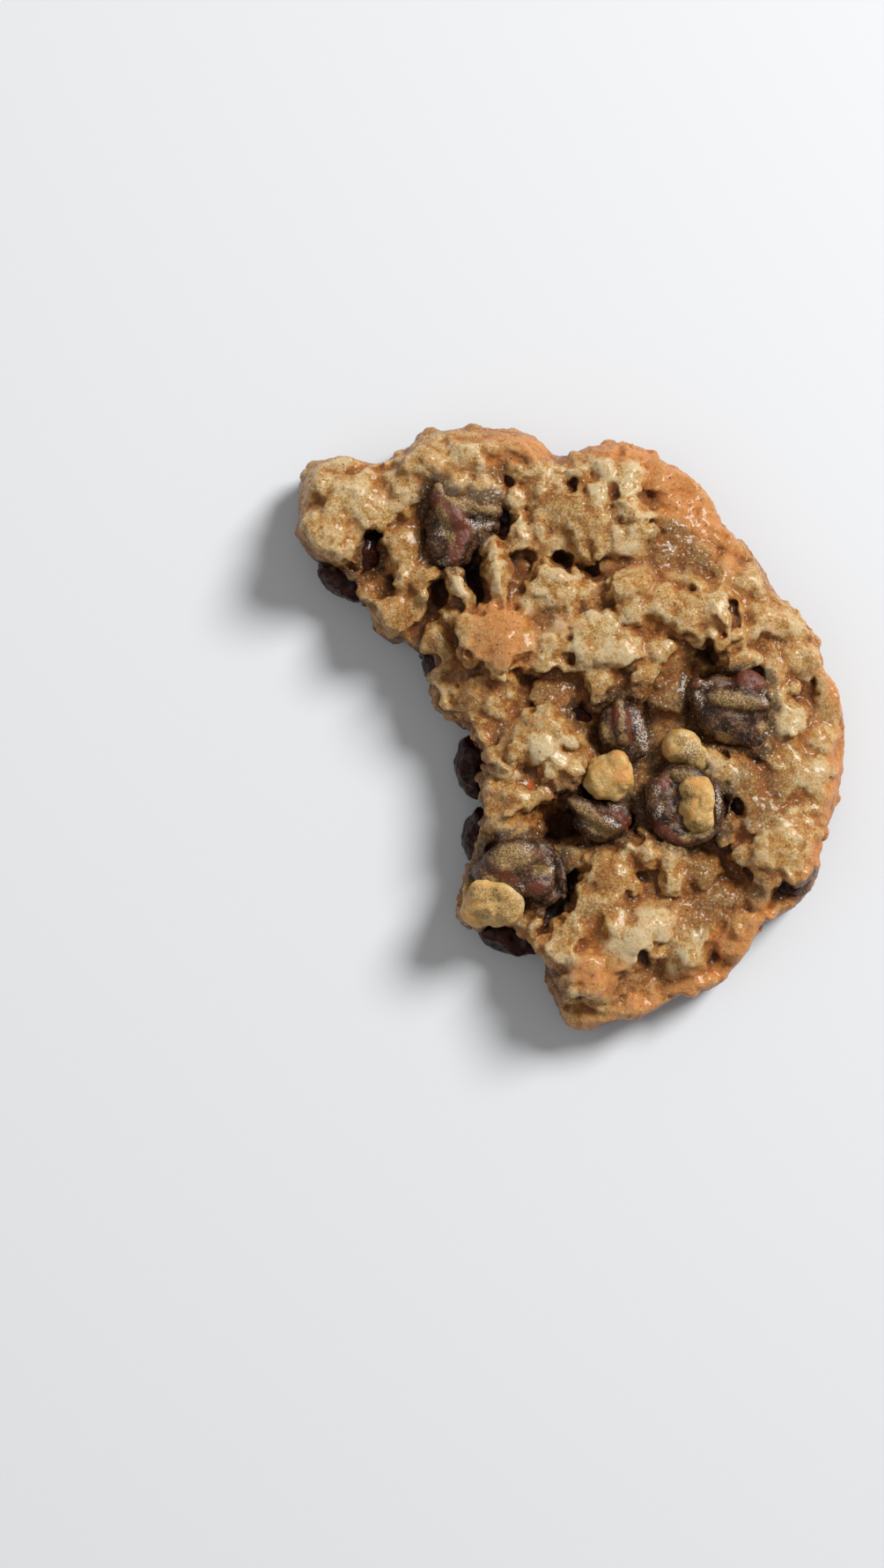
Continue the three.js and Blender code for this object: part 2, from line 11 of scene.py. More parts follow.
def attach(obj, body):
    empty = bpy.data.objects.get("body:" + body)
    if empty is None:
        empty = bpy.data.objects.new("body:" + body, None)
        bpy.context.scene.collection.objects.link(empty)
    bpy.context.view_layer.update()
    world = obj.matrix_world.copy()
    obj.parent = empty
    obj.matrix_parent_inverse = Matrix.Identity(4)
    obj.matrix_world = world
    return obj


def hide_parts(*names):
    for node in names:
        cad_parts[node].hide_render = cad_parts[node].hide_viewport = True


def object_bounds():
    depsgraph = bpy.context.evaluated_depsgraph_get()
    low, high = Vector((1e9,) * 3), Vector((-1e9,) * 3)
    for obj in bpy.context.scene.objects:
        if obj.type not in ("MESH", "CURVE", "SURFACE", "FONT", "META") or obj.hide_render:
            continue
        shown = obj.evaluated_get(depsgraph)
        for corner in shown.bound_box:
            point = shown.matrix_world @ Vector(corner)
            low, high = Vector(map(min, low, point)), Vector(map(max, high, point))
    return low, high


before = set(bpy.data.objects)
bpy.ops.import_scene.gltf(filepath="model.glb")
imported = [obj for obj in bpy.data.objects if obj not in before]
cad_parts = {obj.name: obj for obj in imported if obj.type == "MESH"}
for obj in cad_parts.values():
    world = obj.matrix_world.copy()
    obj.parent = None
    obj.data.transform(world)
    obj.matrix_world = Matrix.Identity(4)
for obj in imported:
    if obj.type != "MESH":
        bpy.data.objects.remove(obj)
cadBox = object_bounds()
mm = 0.001
planShift = Vector((0.05, -0.57, 0.0)) * mm  # from the middle of the outline to the origin


def srgb(red, green, blue):
    def linear(value):
        share = value / 255
        return share / 12.92 if share <= 0.04045 else ((share + 0.055) / 1.055) ** 2.4
    return (linear(red), linear(green), linear(blue), 1.0)


# Camera, light and floor.
cameraLook = {
    "frameHeight": 1780,  # pixels
    "focalPixels": 3261,
    "sensorHeight": 36.0,
    "clip": (0.01, 20),
    "aim": Vector((-18.85, -8.17, 0.0)) * mm,  # the place on the floor under the middle of the frame
    "distance": 430 * mm,
    "tilt": 4.0,  # degrees from straight down, towards the south
}


def makeCamera(look):
    data = bpy.data.cameras.new("camera")
    data.sensor_fit = "VERTICAL"
    data.sensor_height = look["sensorHeight"]
    data.lens = look["focalPixels"] / look["frameHeight"] * look["sensorHeight"]
    data.clip_start, data.clip_end = look["clip"]
    tilt = math.radians(look["tilt"])
    camera = bpy.data.objects.new("camera", data)
    camera.location = look["aim"] + look["distance"] * Vector((0, -math.sin(tilt), math.cos(tilt)))
    camera.rotation_euler = (tilt, 0, 0)
    bpy.context.scene.collection.objects.link(camera)
    bpy.context.scene.camera = camera


lightLook = {
    "key": {"from": (0.90, 0.74, 1.02), "size": 0.60, "watts": 27.8, "colour": (1.0, 0.99, 0.975)},
    "fill": {"from": (-0.55, -0.20, 0.60), "size": 0.9, "watts": 0.9, "colour": (0.98, 0.99, 1.0)},
    "world": {"colour": (1.0, 0.985, 0.96), "strength": 0.22},
}


def makeLight(name, look):
    data = bpy.data.lights.new(name, "AREA")
    data.shape = "DISK"
    data.size = look["size"]
    data.energy = look["watts"]
    data.color = look["colour"]
    light = bpy.data.objects.new(name, data)
    light.location = look["from"]
    light.rotation_euler = (-Vector(look["from"])).to_track_quat("-Z", "Y").to_euler()
    bpy.context.scene.collection.objects.link(light)


def makeWorld(look):
    world = bpy.data.worlds.new("softWorld")
    world.use_nodes = True
    background = world.node_tree.nodes["Background"]
    background.inputs["Color"].default_value = (*look["colour"], 1)
    background.inputs["Strength"].default_value = look["strength"]
    bpy.context.scene.world = world


floorLook = {"size": 6, "below": 0.05 * mm, "colour": srgb(230, 233, 237), "roughness": 0.6}


def makeFloor(look):
    bpy.ops.mesh.primitive_plane_add(size=look["size"], location=(0, 0, -look["below"]))
    floor = bpy.context.object
    floor.name = "floor"
    material = bpy.data.materials.new("paleFloor")
    material.use_nodes = True
    shader = material.node_tree.nodes["Principled BSDF"]
    shader.inputs["Base Color"].default_value = look["colour"]
    shader.inputs["Roughness"].default_value = look["roughness"]
    floor.data.materials.append(material)


makeCamera(cameraLook)
makeLight("keyLight", lightLook["key"])
makeLight("fillLight", lightLook["fill"])
makeWorld(lightLook["world"])
makeFloor(floorLook)
bpy.context.scene.view_settings.view_transform = "Standard"
print("stage: camera, lights and floor")


# Helpers that every piece uses.
mergeWithin = 0.001 * mm
noiseShifts = (17.3, 5.1, 9.7)  # how far each seed moves a noise along x, y and z
noiseSeeds = {
    "grit": 3, "crumble": 5, "inclusions": 10, "tints": 30, "rim": 40, "warps": 50, "holes": 59, "coats": 60,
}


def selectOnly(piece):
    bpy.ops.object.select_all(action="DESELECT")
    piece.select_set(True)
    bpy.context.view_layer.objects.active = piece


def applyModifier(piece, kind, **settings):
    selectOnly(piece)
    modifier = piece.modifiers.new(kind.lower(), kind)
    for setting, value in settings.items():
        setattr(modifier, setting, value)
    bpy.ops.object.modifier_apply(modifier=modifier.name)


def remesh(piece, voxel, passes):
    applyModifier(piece, "REMESH", mode="VOXEL", voxel_size=voxel)
    applyModifier(piece, "SMOOTH", factor=0.5, iterations=passes)


def copyOfNode(node, name):
    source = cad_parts[node]
    piece = bpy.data.objects.new(name, source.data.copy())
    bpy.context.scene.collection.objects.link(piece)
    piece.data.materials.clear()
    selectOnly(piece)
    bpy.ops.object.mode_set(mode="EDIT")
    bpy.ops.mesh.select_all(action="SELECT")
    bpy.ops.mesh.remove_doubles(threshold=mergeWithin)
    bpy.ops.object.mode_set(mode="OBJECT")
    return piece


def pointsOf(piece):
    points = np.empty(len(piece.data.vertices) * 3)
    piece.data.vertices.foreach_get("co", points)
    return points.reshape(-1, 3)


def normalsOf(piece):
    normals = np.empty(len(piece.data.vertices) * 3, dtype=np.float32)
    piece.data.vertex_normals.foreach_get("vector", normals)
    return normals.reshape(-1, 3).astype(float)


def edgesOf(piece):
    edges = np.empty(len(piece.data.edges) * 2, dtype=np.int64)
    piece.data.edges.foreach_get("vertices", edges)
    return edges.reshape(-1, 2)


def setPoints(piece, points):
    piece.data.vertices.foreach_set("co", points.reshape(-1))
    piece.data.update()


def setAttribute(piece, name, values):
    attribute = piece.data.attributes.new(name, "FLOAT", "POINT")
    attribute.data.foreach_set("value", np.asarray(values, dtype=np.float32))


def shadeSmooth(piece):
    piece.data.polygons.foreach_set("use_smooth", [True] * len(piece.data.polygons))


def treeOf(piece):
    return BVHTree.FromPolygons(
        [tuple(v.co) for v in piece.data.vertices], [tuple(p.vertices) for p in piece.data.polygons]
    )


def joinInto(piece, others):
    selectOnly(piece)
    for other in others:
        other.select_set(True)
    bpy.ops.object.join()


def repeated(kinds, places, name):
    # joins one copy of a kind at each place into a single mesh
    vertices, faces, start = [], [], 0
    for kind, place in places:
        points, polygons = kinds[kind]
        vertices.append(points @ np.array(place.to_3x3()).T + np.array(place.translation))
        faces += [[start + i for i in polygon] for polygon in polygons]
        start += len(points)
    mesh = bpy.data.meshes.new(name)
    mesh.from_pydata(np.concatenate(vertices).tolist(), [], faces)
    piece = bpy.data.objects.new(name, mesh)
    bpy.context.scene.collection.objects.link(piece)
    return piece


def unitBall(detail, rough, seed):
    # a ball of radius 1, swollen here and there
    bpy.ops.object.select_all(action="DESELECT")
    bpy.ops.mesh.primitive_ico_sphere_add(subdivisions=detail, radius=1)
    ball = bpy.context.object
    bpy.ops.object.mode_set(mode="EDIT")
    bpy.ops.mesh.select_all(action="SELECT")
    bpy.ops.transform.vertex_random(offset=rough, seed=seed)
    bpy.ops.object.mode_set(mode="OBJECT")
    points, polygons = pointsOf(ball), [tuple(p.vertices) for p in ball.data.polygons]
    bpy.data.objects.remove(ball)
    return points, polygons


def fromMiddle(points):
    # in mm from the outline's middle, as the rows of the shapes are
    return (points - np.array(planShift)) / mm


def noiseAt(points, size, seed):
    shift = Vector([seed * step for step in noiseShifts])
    return np.array([noise.noise(Vector(p) / size + shift) for p in points])


def smoothed(values, edges, passes, share=0.5):
    # each value moves towards the mean of its neighbours
    count = len(values)
    ends = np.concatenate([edges[:, 0], edges[:, 1]])
    others = np.concatenate([edges[:, 1], edges[:, 0]])
    degree = np.maximum(np.bincount(ends, minlength=count), 1)
    values = values.reshape(count, -1)
    for _ in range(passes):
        mean = np.stack(
            [np.bincount(ends, weights=values[others, k], minlength=count) for k in range(values.shape[1])], 1
        ) / degree[:, None]
        values = values + (mean - values) * share
    return values


def softStep(values, low, high):
    share = np.clip((values - low) / (high - low), 0, 1)
    return share * share * (3 - 2 * share)


# The dough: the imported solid, whose top is lifted to a finer relief of lumps, flakes and holes.
# Lengths without a unit are in mm.
doughLook = {
    "voxel": 0.385 * mm,
    "voxelQuick": 0.6 * mm,
    "smoothPasses": (6, 1),  # after the first and the second remesh
    "gridStep": 0.5 * mm,
    "evenOver": 3.2,  # over which the solid's height is evened to give the ground
    "letDown": 0.6,  # how far the ground between the lumps lies below that
    "letDownFrom": (0.5, 4.0),  # in from the outline
    "edgeOver": 1.0,  # over which the height is evened along the outline
    "edgeRoom": (1.5, 1.2),  # how far the relief may pass that at the outline, and more for each mm inward
    "inwardMost": 8,  # how far in from the outline is measured
    "lowest": 1.0,
    "liftedFacing": (0.05, 0.45),  # how far a face looks up before it is lifted
    "liftedAbove": (1.5, 3.5),  # the foot below stays as it is
    "overhang": (-0.20, -0.28),  # how far each mm of height leans the lumps over
    "overhangFrom": (0.5, 2.5),  # in from the outline
    "softness": 0.13,  # over which two lumps melt into each other
    "lumpPower": 2.7,  # 2 is a ball, more is flatter on top with a steeper side
    "powerFall": (0.25, 4),  # how much rounder each mm of half width makes a lump, and up to which width
    "lumpTilt": 0.24,  # steepest slope of a lump's top
    "tiltTurn": 5,  # turns each lump's slope away from the last one's
    "tiltBelow": (16, 2.5),  # the height at which a lump is level, and how far below it the tilt is full
    "lumpSkirt": 2.2,  # fall of a lump's skirt for each mm
    "lumpGrow": 0.55,  # by which every lump is wider than its row says
    "warps": ((4.0, 0.6), (1.6, 0.20), (0.8, 0.12)),  # size and reach of what makes the lumps' rims uneven
    "holeWarp": (0.9, 0.5),  # the same for the holes' rims
    "holeWall": {  # narrow holes are shallower than their rows say
        "floor": 0.4, "rise": 3.4, "power": 1.5, "narrow": 1.3, "shallower": 2.2,
    },
    "pressed": {"warp": 0.6, "below": 0.7, "from": 0.68, "rise": 3.2},  # the dough round chips and nuts
    "finTop": 1.4,  # fall of a fin from its middle to its rim
    "finSide": 9,  # and beyond it
    "fills": {"count": 620, "size": (0.7, 2.4), "width": (0.6, 1), "above": (-0.3, 0.4), "highest": 15.0},
    "flakes": {
        "count": 220, "length": (1.4, 3.4), "width": (0.55, 0.8), "reach": 3, "waver": 6,
        "slope": 0.4, "tilt": 0.7, "above": (0.0, 0.35), "stand": 0.6,
    },
    "knobs": {
        "count": 70, "kinds": 5, "detail": 2, "rough": 0.16, "onSides": 0.5,
        "size": (0.5, 1.4), "width": (0.6, 1), "height": (0.5, 0.8), "lift": 0,
    },
    "crumbs": {
        "count": 650, "kinds": 4, "detail": 1, "rough": 0.2, "onSides": 0.35,
        "size": (0.22, 0.55), "width": (0.6, 1), "height": (0.6, 1), "lift": 0.05,
    },
    "bitsFrom": {"middle": (8, 2), "heights": (1.2, 10), "beside": 90, "over": 50, "leastUp": -0.2},
    "cells": ((3.0, 0.12), (1.4, 0.09), (0.75, 0.07)),  # width and depth of the bulges that crowd the top
    "crease": 0.3,  # share of a bulge's width that falls to the next one
    "cellLevel": 0.45,  # share of a bulge's depth that lies below the old surface
    "grit": (0.6, 0.10),  # size and reach
    "crumble": ((2.4, 0.9), (1.1, 0.5)),  # size and reach of the broken side's roughness
    "roughAbove": (0.3, 1.5),  # the face on the floor stays even
    "pores": {"count": 70, "radius": (0.4, 0.8), "depth": (0.6, 1.2), "reach": 1.5, "leastUp": -0.3},
    "pastBox": (0.3, 0.3, 0.2),  # how far the dough may pass the solids' box
    "underside": {"below": 0.25, "share": 0.12},  # the faces under the cookie, and the share that stays
    "seeds": {"bits": 4, "pores": 5, "fills": 7, "flakes": 11},
}
fullTurn = 6.28  # radians

# How each kind of lump is finished, as shade from brown 0 to cream 1, toast and wetness.
lumpFinish = {
    "fin": (0.86, 0.20, 0.0),
    "cream": (0.94, 0.02, 0.0),
    "pale": (0.72, 0.10, 0.14),
    "gold": (0.60, 0.26, 0.10),
    "brown": (0.40, 0.14, 0.30),
    "toasted": (0.55, 0.95, 0.0),
    "wet": (0.32, 0.05, 0.9),
}
plainFinish = (0.36, 0.08, 0.65)  # between the lumps

# How far each kind stands over the even ground at least, in mm.
lumpStand = {"cream": 0.9, "pale": 0.6, "gold": 0.6, "brown": 0.3, "toasted": 0.7, "wet": -0.8}

# The lumps, as x, y, half length, half width, turn in degrees and top, all in mm from the outline's middle.
lumps = {
    "cream": {
        "creamFlake": (7.5, -31.7, 4.3, 2.6, 25, 13.2), "creamBack": (12.1, -28.4, 2.6, 2.4, 0, 12.0),
        "creamHorn": (6.5, -28.8, 1.3, 0.9, 80, 12.6), "noseLip": (-1.4, -32.5, 2.6, 1.2, -40, 12.4),
        "browFlakeWest": (4.9, 38.1, 2.8, 1.5, 100, 13.6), "browFlakeEast": (9.3, 37.3, 2.8, 1.5, 65, 13.2),
        "lipCurl": (-0.2, -5.7, 2.1, 0.6, -20, 13.4), "lipSouth": (-3.0, -6.1, 1.6, 1.2, 80, 13.4),
        "lipBody": (-4.0, -3.0, 2.4, 1.8, 0, 13.8), "paleFold": (4.3, 11.1, 4.8, 1.5, -12, 14.2),
    },
    "pale": {
        "tipPlate": (-31.3, 33.7, 5.3, 3.4, -20, 13.2), "browBall": (1.4, 38.3, 1.8, 1.7, 0, 13.2),
        "bandFlake": (-7.5, 37.3, 4.9, 1.3, 12, 11.5), "bandEast": (-3.0, 36.7, 3.0, 1.6, 20, 12.6),
        "northPale": (-11.0, 41.1, 2.2, 1.4, 0, 13.4), "northMiddle": (-15.1, 40.6, 3.0, 2.2, 90, 14.2),
        "northFoot": (-13.2, 35.6, 1.8, 1.6, 0, 13.0), "cushionRidge": (4.1, 32.4, 2.4, 1.4, -50, 14.2),
        "cushionFoot": (-3.0, 26.9, 2.7, 2.1, 0, 12.8), "cushionHornOne": (-4.7, 29.6, 1.5, 0.7, 100, 13.6),
        "cushionHornTwo": (-6.5, 28.4, 1.3, 1.3, 0, 12.8), "cushionWest": (-7.9, 33.4, 1.5, 0.9, 90, 12.4),
        "cornerTop": (9.3, 31.6, 2.4, 1.5, -10, 14.8), "cornerFoot": (8.9, 27.2, 2.6, 2.6, 0, 14.2),
        "cornerWest": (6.9, 30.8, 1.8, 1.6, 0, 14.0), "cornerEast": (10.9, 29.4, 1.9, 1.0, 80, 14.2),
        "cornerOval": (5.3, 27.4, 1.7, 1.2, 80, 13.2), "knuckle": (-3.0, 19.5, 4.0, 3.4, 0, 14.4),
        "knuckleFoot": (-1.4, 16.4, 2.2, 1.4, 0, 13.0), "knuckleWest": (-6.3, 18.0, 1.5, 1.5, 0, 12.6),
        "knuckleEast": (3.0, 19.1, 2.0, 1.8, 90, 12.6), "ballCheek": (-3.0, 11.9, 3.0, 2.4, 90, 13.8),
        "lobeBack": (4.1, 14.5, 4.4, 2.0, 0, 13.9), "lobeEast": (8.5, 11.7, 2.0, 1.9, 90, 13.8),
        "chin": (4.3, 7.4, 1.7, 1.6, 0, 13.0), "neck": (2.0, 9.4, 2.2, 1.1, -40, 12.0),
        "shelfRim": (22.4, 17.8, 2.3, 1.0, 85, 14.6), "fieldPatch": (-9.5, 6.2, 2.0, 1.3, 90, 11.8),
        "breakRidge": (-8.7, -6.4, 2.8, 1.0, -45, 12.6), "oliveSlope": (21.5, -5.8, 3.4, 2.3, -35, 12.4),
        "rimRose": (33.9, -6.0, 3.8, 3.2, 0, 10.6), "fieldRose": (31.8, 1.5, 3.2, 2.0, 85, 11.2),
        "southKnob": (16.3, -33.7, 2.8, 2.7, 0, 10.0), "creamEast": (16.1, -30.3, 3.0, 2.5, 0, 11.0),
        "hillTop": (32.3, -13.5, 2.4, 1.8, 0, 12.0), "southBand": (3.5, -40.2, 4.4, 1.1, -15, 8.0),
        "southBandLow": (2.1, -42.0, 4.0, 1.1, 0, 6.0), "shellCrumb": (-7.5, -14.6, 1.6, 0.7, -8, 11.0),
    },
    "gold": {
        "tipBall": (-34.6, 28.3, 3.7, 3.6, 90, 13.4), "tipUnder": (-38.0, 34.9, 3.6, 2.2, 90, 11.2),
        "tipRear": (-33.5, 38.4, 4.9, 1.3, 5, 10.0), "tipBackNorth": (-26.0, 39.2, 2.2, 1.6, 0, 9.5),
        "tipBack": (-24.6, 36.2, 3.0, 1.9, 0, 11.4), "tipBackFoot": (-25.0, 33.3, 1.6, 1.5, 0, 10.6),
        "northWest": (-20.8, 40.0, 3.0, 2.6, 90, 13.6), "northSouth": (-17.7, 36.0, 2.6, 1.6, 0, 13.6),
        "goldKnuckle": (9.1, 20.5, 2.8, 2.2, 0, 14.8), "goldFoot": (9.1, 17.0, 1.9, 1.7, 0, 14.6),
        "goldBridge": (13.2, 18.9, 3.4, 1.9, -25, 14.4), "goldLink": (13.6, 17.4, 2.8, 1.3, -20, 14.2),
        "goldShelf": (19.8, 16.9, 4.0, 3.0, -10, 14.8), "shelfFoot": (20.3, 13.9, 3.0, 1.8, 0, 14.0),
        "shelfWest": (16.9, 15.4, 2.2, 1.4, 0, 13.6), "upperBand": (17.3, 20.8, 4.7, 1.5, -20, 12.8),
        "eastLobe": (11.8, 11.3, 2.4, 1.8, 0, 13.6), "eastLobeFoot": (11.0, 8.4, 1.8, 1.6, 90, 13.2),
        "rimTop": (25.8, 21.4, 2.8, 2.4, 0, 11.5), "rimTopFoot": (27.5, 17.8, 1.9, 1.9, 0, 11.4),
        "rimMiddle": (26.0, 14.8, 2.4, 1.8, 0, 12.0), "rimShelf": (25.4, 10.1, 1.9, 1.2, 0, 12.6),
        "goldRimNorth": (31.8, 15.0, 3.4, 3.2, 90, 10.8), "goldRimSouth": (32.9, 11.1, 3.2, 2.6, 0, 10.4),
        "goldRimWest": (30.1, 9.2, 3.0, 2.0, 90, 11.0), "eastKnob": (37.8, 3.4, 4.2, 1.8, 90, 8.8),
        "eastKnobSouth": (36.9, -1.3, 2.2, 1.8, 0, 9.6), "fieldNorth": (30.5, 5.1, 1.8, 1.6, 90, 11.0),
        "lipTop": (-4.0, 0.3, 2.6, 2.2, 0, 13.9), "lipNib": (-0.6, -1.3, 1.6, 0.7, -25, 13.6),
        "capHill": (31.3, -17.9, 4.8, 4.4, 15, 12.8), "rimSouthEast": (35.2, -12.5, 3.4, 2.4, 90, 9.6),
        "rimEast": (36.2, -8.4, 2.4, 1.8, 0, 9.4), "bridgeEast": (13.9, -18.8, 2.6, 1.9, -35, 11.8),
        "bridgeTop": (10.1, -17.7, 2.2, 1.2, -10, 12.0), "bridgeFoot": (14.6, -21.8, 2.2, 1.7, 90, 11.4),
        "breakWall": (-18.4, 4.9, 2.0, 2.0, 0, 8.6),
    },
    "brown": {
        "cushion": (-0.2, 30.8, 5.4, 3.4, 0, 14.0), "cushionLower": (1.8, 27.2, 2.4, 1.8, 0, 13.0),
        "tipSlope": (-24.6, 27.7, 3.2, 2.9, 90, 10.6), "westRidge": (-23.4, 21.2, 3.6, 2.8, 95, 11.0),
        "westEdge": (-21.6, 21.6, 2.6, 0.9, 80, 12.0), "westShoulder": (-25.6, 16.7, 3.8, 2.6, 0, 11.2),
        "fieldWest": (-13.2, 5.4, 4.0, 3.4, -30, 11.4), "lipWest": (-13.6, 0.3, 2.4, 2.2, 0, 10.4),
        "lipBack": (-7.0, -3.6, 2.2, 1.6, 0, 12.8), "shell": (-9.1, -10.7, 3.2, 2.4, -15, 13.0),
        "shellUnder": (-10.7, -12.5, 3.0, 2.0, 0, 11.6), "shellWest": (-12.9, -11.5, 1.6, 1.6, 0, 10.6),
        "shellBack": (-4.6, -11.7, 2.4, 2.2, 90, 12.2), "longRidge": (4.8, -21.6, 4.4, 2.8, 50, 12.4),
        "longRidgeEast": (6.2, -24.2, 2.4, 1.6, 80, 12.0), "ridgeField": (1.8, -26.6, 4.0, 2.6, 0, 11.6),
        "ridgeSouth": (-0.4, -28.6, 4.5, 2.6, 40, 11.6), "chipFlank": (-15.2, -23.0, 3.2, 1.2, 85, 9.0),
        "underChip": (-9.3, -30.0, 3.0, 1.3, 0, 7.0), "redKnob": (25.3, -18.4, 1.8, 1.6, 90, 11.6),
        "ballLedge": (-17.2, 13.3, 3.4, 3.2, 0, 10.8),
    },
    "toasted": {
        "northBrow": (-8.1, 41.1, 4.9, 2.8, 0, 12.9), "browRim": (7.7, 40.5, 4.2, 1.2, -12, 9.5),
        "rimNorthEast": (13.6, 36.3, 3.6, 2.4, -40, 10.5), "rimFoot": (14.6, 33.2, 2.8, 2.0, -30, 10.8),
        "rimUpper": (19.0, 32.4, 3.4, 2.6, -50, 9.8), "rimCrumb": (22.3, 27.6, 3.4, 2.4, -55, 9.8),
        "ball": (-10.7, 13.2, 4.9, 4.6, 0, 15.5), "ballRidge": (-9.2, 12.6, 2.0, 0.9, -45, 15.5),
        "nose": (4.1, -35.5, 3.6, 3.4, 0, 13.0), "southRim": (8.8, -41.2, 3.4, 1.8, 12, 8.0),
        "southRimEast": (23.4, -31.3, 3.1, 3.0, 90, 9.0), "southSlope": (27.0, -27.5, 4.0, 1.6, 25, 8.6),
        "hillTip": (36.0, -20.4, 1.4, 1.4, 0, 8.6), "southRimMiddle": (17.6, -37.2, 3.6, 2.0, 10, 8.0),
    },
    "wet": {
        "glossyField": (13.6, 25.9, 3.0, 2.6, 0, 11.8), "glossyNorth": (15.2, 29.6, 1.8, 1.0, 0, 11.6),
        "glossySouth": (18.6, 24.6, 3.2, 2.4, -20, 11.4), "fieldEast": (-1.6, 5.2, 4.0, 1.8, 0, 11.2),
        "underChin": (7.7, 5.4, 2.2, 1.6, 0, 11.4), "amberField": (14.7, 5.6, 3.6, 2.2, 0, 10.6),
        "earBack": (-9.0, 20.9, 2.2, 1.0, 90, 12.5), "archTop": (-0.8, -8.9, 2.0, 1.8, 0, 12.6),
        "archMiddle": (0.9, -11.5, 1.8, 1.6, 90, 12.4), "webNorth": (25.1, -7.8, 3.0, 2.2, 90, 12.0),
        "webMiddle": (23.1, -14.1, 1.8, 1.4, 90, 11.8), "ringSouth": (19.0, -20.8, 1.8, 1.3, 0, 11.0),
        "southValley": (21.4, -24.8, 3.4, 2.6, 0, 10.0), "valleyWest": (18.6, -28.7, 2.0, 1.6, 0, 10.4),
        "valleyEast": (23.8, -28.4, 1.6, 1.4, 0, 9.8), "southCorner": (-1.8, -38.8, 2.0, 1.2, 80, 7.8),
        "hillRidge": (28.9, -13.5, 2.4, 1.6, 30, 12.0), "oliveBall": (27.3, -23.6, 1.8, 1.8, 0, 10.4),
        "hillFoot": (32.4, -24.6, 3.0, 1.6, 20, 8.4), "fieldMiddle": (28.2, -1.7, 2.2, 1.2, 85, 11.6),
        "besideRose": (30.1, -8.1, 2.4, 2.0, 0, 11.0),
    },
}

# Thin flakes that stand on edge, as x, y, half length, half width, turn and top.
fins = {
    "leftEar": (-16.4, 20.2, 3.0, 1.3, 118, 14.6), "rightEar": (-10.9, 22.4, 4.2, 1.7, 98, 15.6),
    "littleFin": (-7.6, 30.6, 1.3, 0.6, 75, 12.8),
}

# The holes and cracks, dark from painted shade as well as their depth, as x, y, half length, half width, turn
# and height of the floor.
holes = {
    "underTip": (-28.7, 28.3, 1.2, 1.4, 0, 6.0), "tipCrack": (-24.9, 31.4, 1.2, 0.5, -30, 8.0),
    "westNotch": (-26.9, 21.5, 0.9, 1.5, -10, 5.5), "besideEar": (-19.4, 19.4, 1.7, 2.4, 0, 7.0),
    "betweenEars": (-14.0, 21.6, 1.7, 2.9, 10, 5.0), "earFoot": (-9.5, 18.6, 0.7, 0.9, 0, 8.0),
    "northSlot": (-9.3, 36.0, 1.0, 0.9, 0, 7.6), "browPocket": (0.0, 35.4, 1.0, 1.2, 0, 9.0),
    "cornerPit": (12.4, 30.0, 1.3, 0.9, 0, 8.6), "cushionHole": (-1.4, 24.7, 1.5, 1.0, 10, 6.0),
    "brownValley": (6.7, 23.2, 2.4, 0.9, 35, 10.4), "cheekPore": (-4.2, 14.7, 1.2, 0.8, 0, 10.8),
    "lobeCrease": (2.4, 12.5, 2.4, 0.4, -5, 11.6), "cheekCrack": (-0.2, 13.4, 2.6, 0.45, 74, 9.4),
    "belowCheek": (0.4, 9.9, 1.2, 0.8, 60, 9.0), "fieldPore": (-5.7, 3.2, 1.0, 0.9, 0, 7.6),
    "underLink": (13.0, 15.2, 1.5, 0.7, 0, 9.8), "eastPit": (20.4, 10.3, 1.2, 1.4, 0, 5.6),
    "eastSlot": (24.5, 17.6, 0.8, 1.9, 5, 7.6), "rimPore": (35.5, 4.8, 1.0, 0.9, 0, 6.0),
    "rimValley": (35.0, 0.9, 2.3, 0.8, 60, 6.2), "chipPore": (29.9, 3.8, 0.5, 0.5, 0, 8.6),
    "belowEastChip": (22.0, -3.4, 1.5, 0.9, -25, 7.2), "besideChip": (27.8, -4.8, 0.9, 1.2, -30, 7.8),
    "lobeNotch": (10.0, 6.6, 0.9, 0.6, 0, 8.0), "darkHollow": (-1.0, -14.4, 4.0, 2.5, 15, 3.6),
    "nutPit": (2.6, -8.4, 1.1, 2.0, -10, 5.6), "nutShadow": (9.0, -11.2, 2.0, 0.9, 35, 6.8),
    "ringWest": (9.4, -14.8, 0.9, 1.6, 10, 6.8), "webHole": (24.5, -11.7, 0.8, 1.6, 0, 7.2),
    "webPore": (24.3, -15.7, 0.5, 0.7, 0, 8.6), "archHole": (10.5, -22.0, 2.0, 1.1, -25, 7.4),
    "archPit": (8.9, -19.8, 1.1, 0.8, 0, 9.0), "archSlope": (8.6, -24.4, 1.6, 1.0, 40, 8.8),
    "chipGully": (-1.4, -25.0, 4.6, 1.3, 58, 4.6), "nosePit": (0.3, -32.2, 0.9, 0.6, 0, 9.6),
    "southPit": (-1.3, -40.6, 0.9, 0.7, 0, 4.8), "southFold": (2.2, -41.1, 2.2, 0.6, -10, 4.8),
    "noseUnder": (1.4, -38.6, 1.4, 0.6, 20, 6.0), "creamShadow": (10.6, -34.4, 1.2, 1.6, 0, 7.4),
    "rimRecess": (20.4, -34.2, 0.8, 2.0, -10, 5.8), "hillPatch": (30.9, -23.4, 2.6, 0.9, 0, 7.6),
    "besideHill": (25.9, -21.2, 0.6, 1.4, -15, 7.6), "hillCrack": (30.2, -11.6, 0.8, 0.35, 20, 9.4),
}

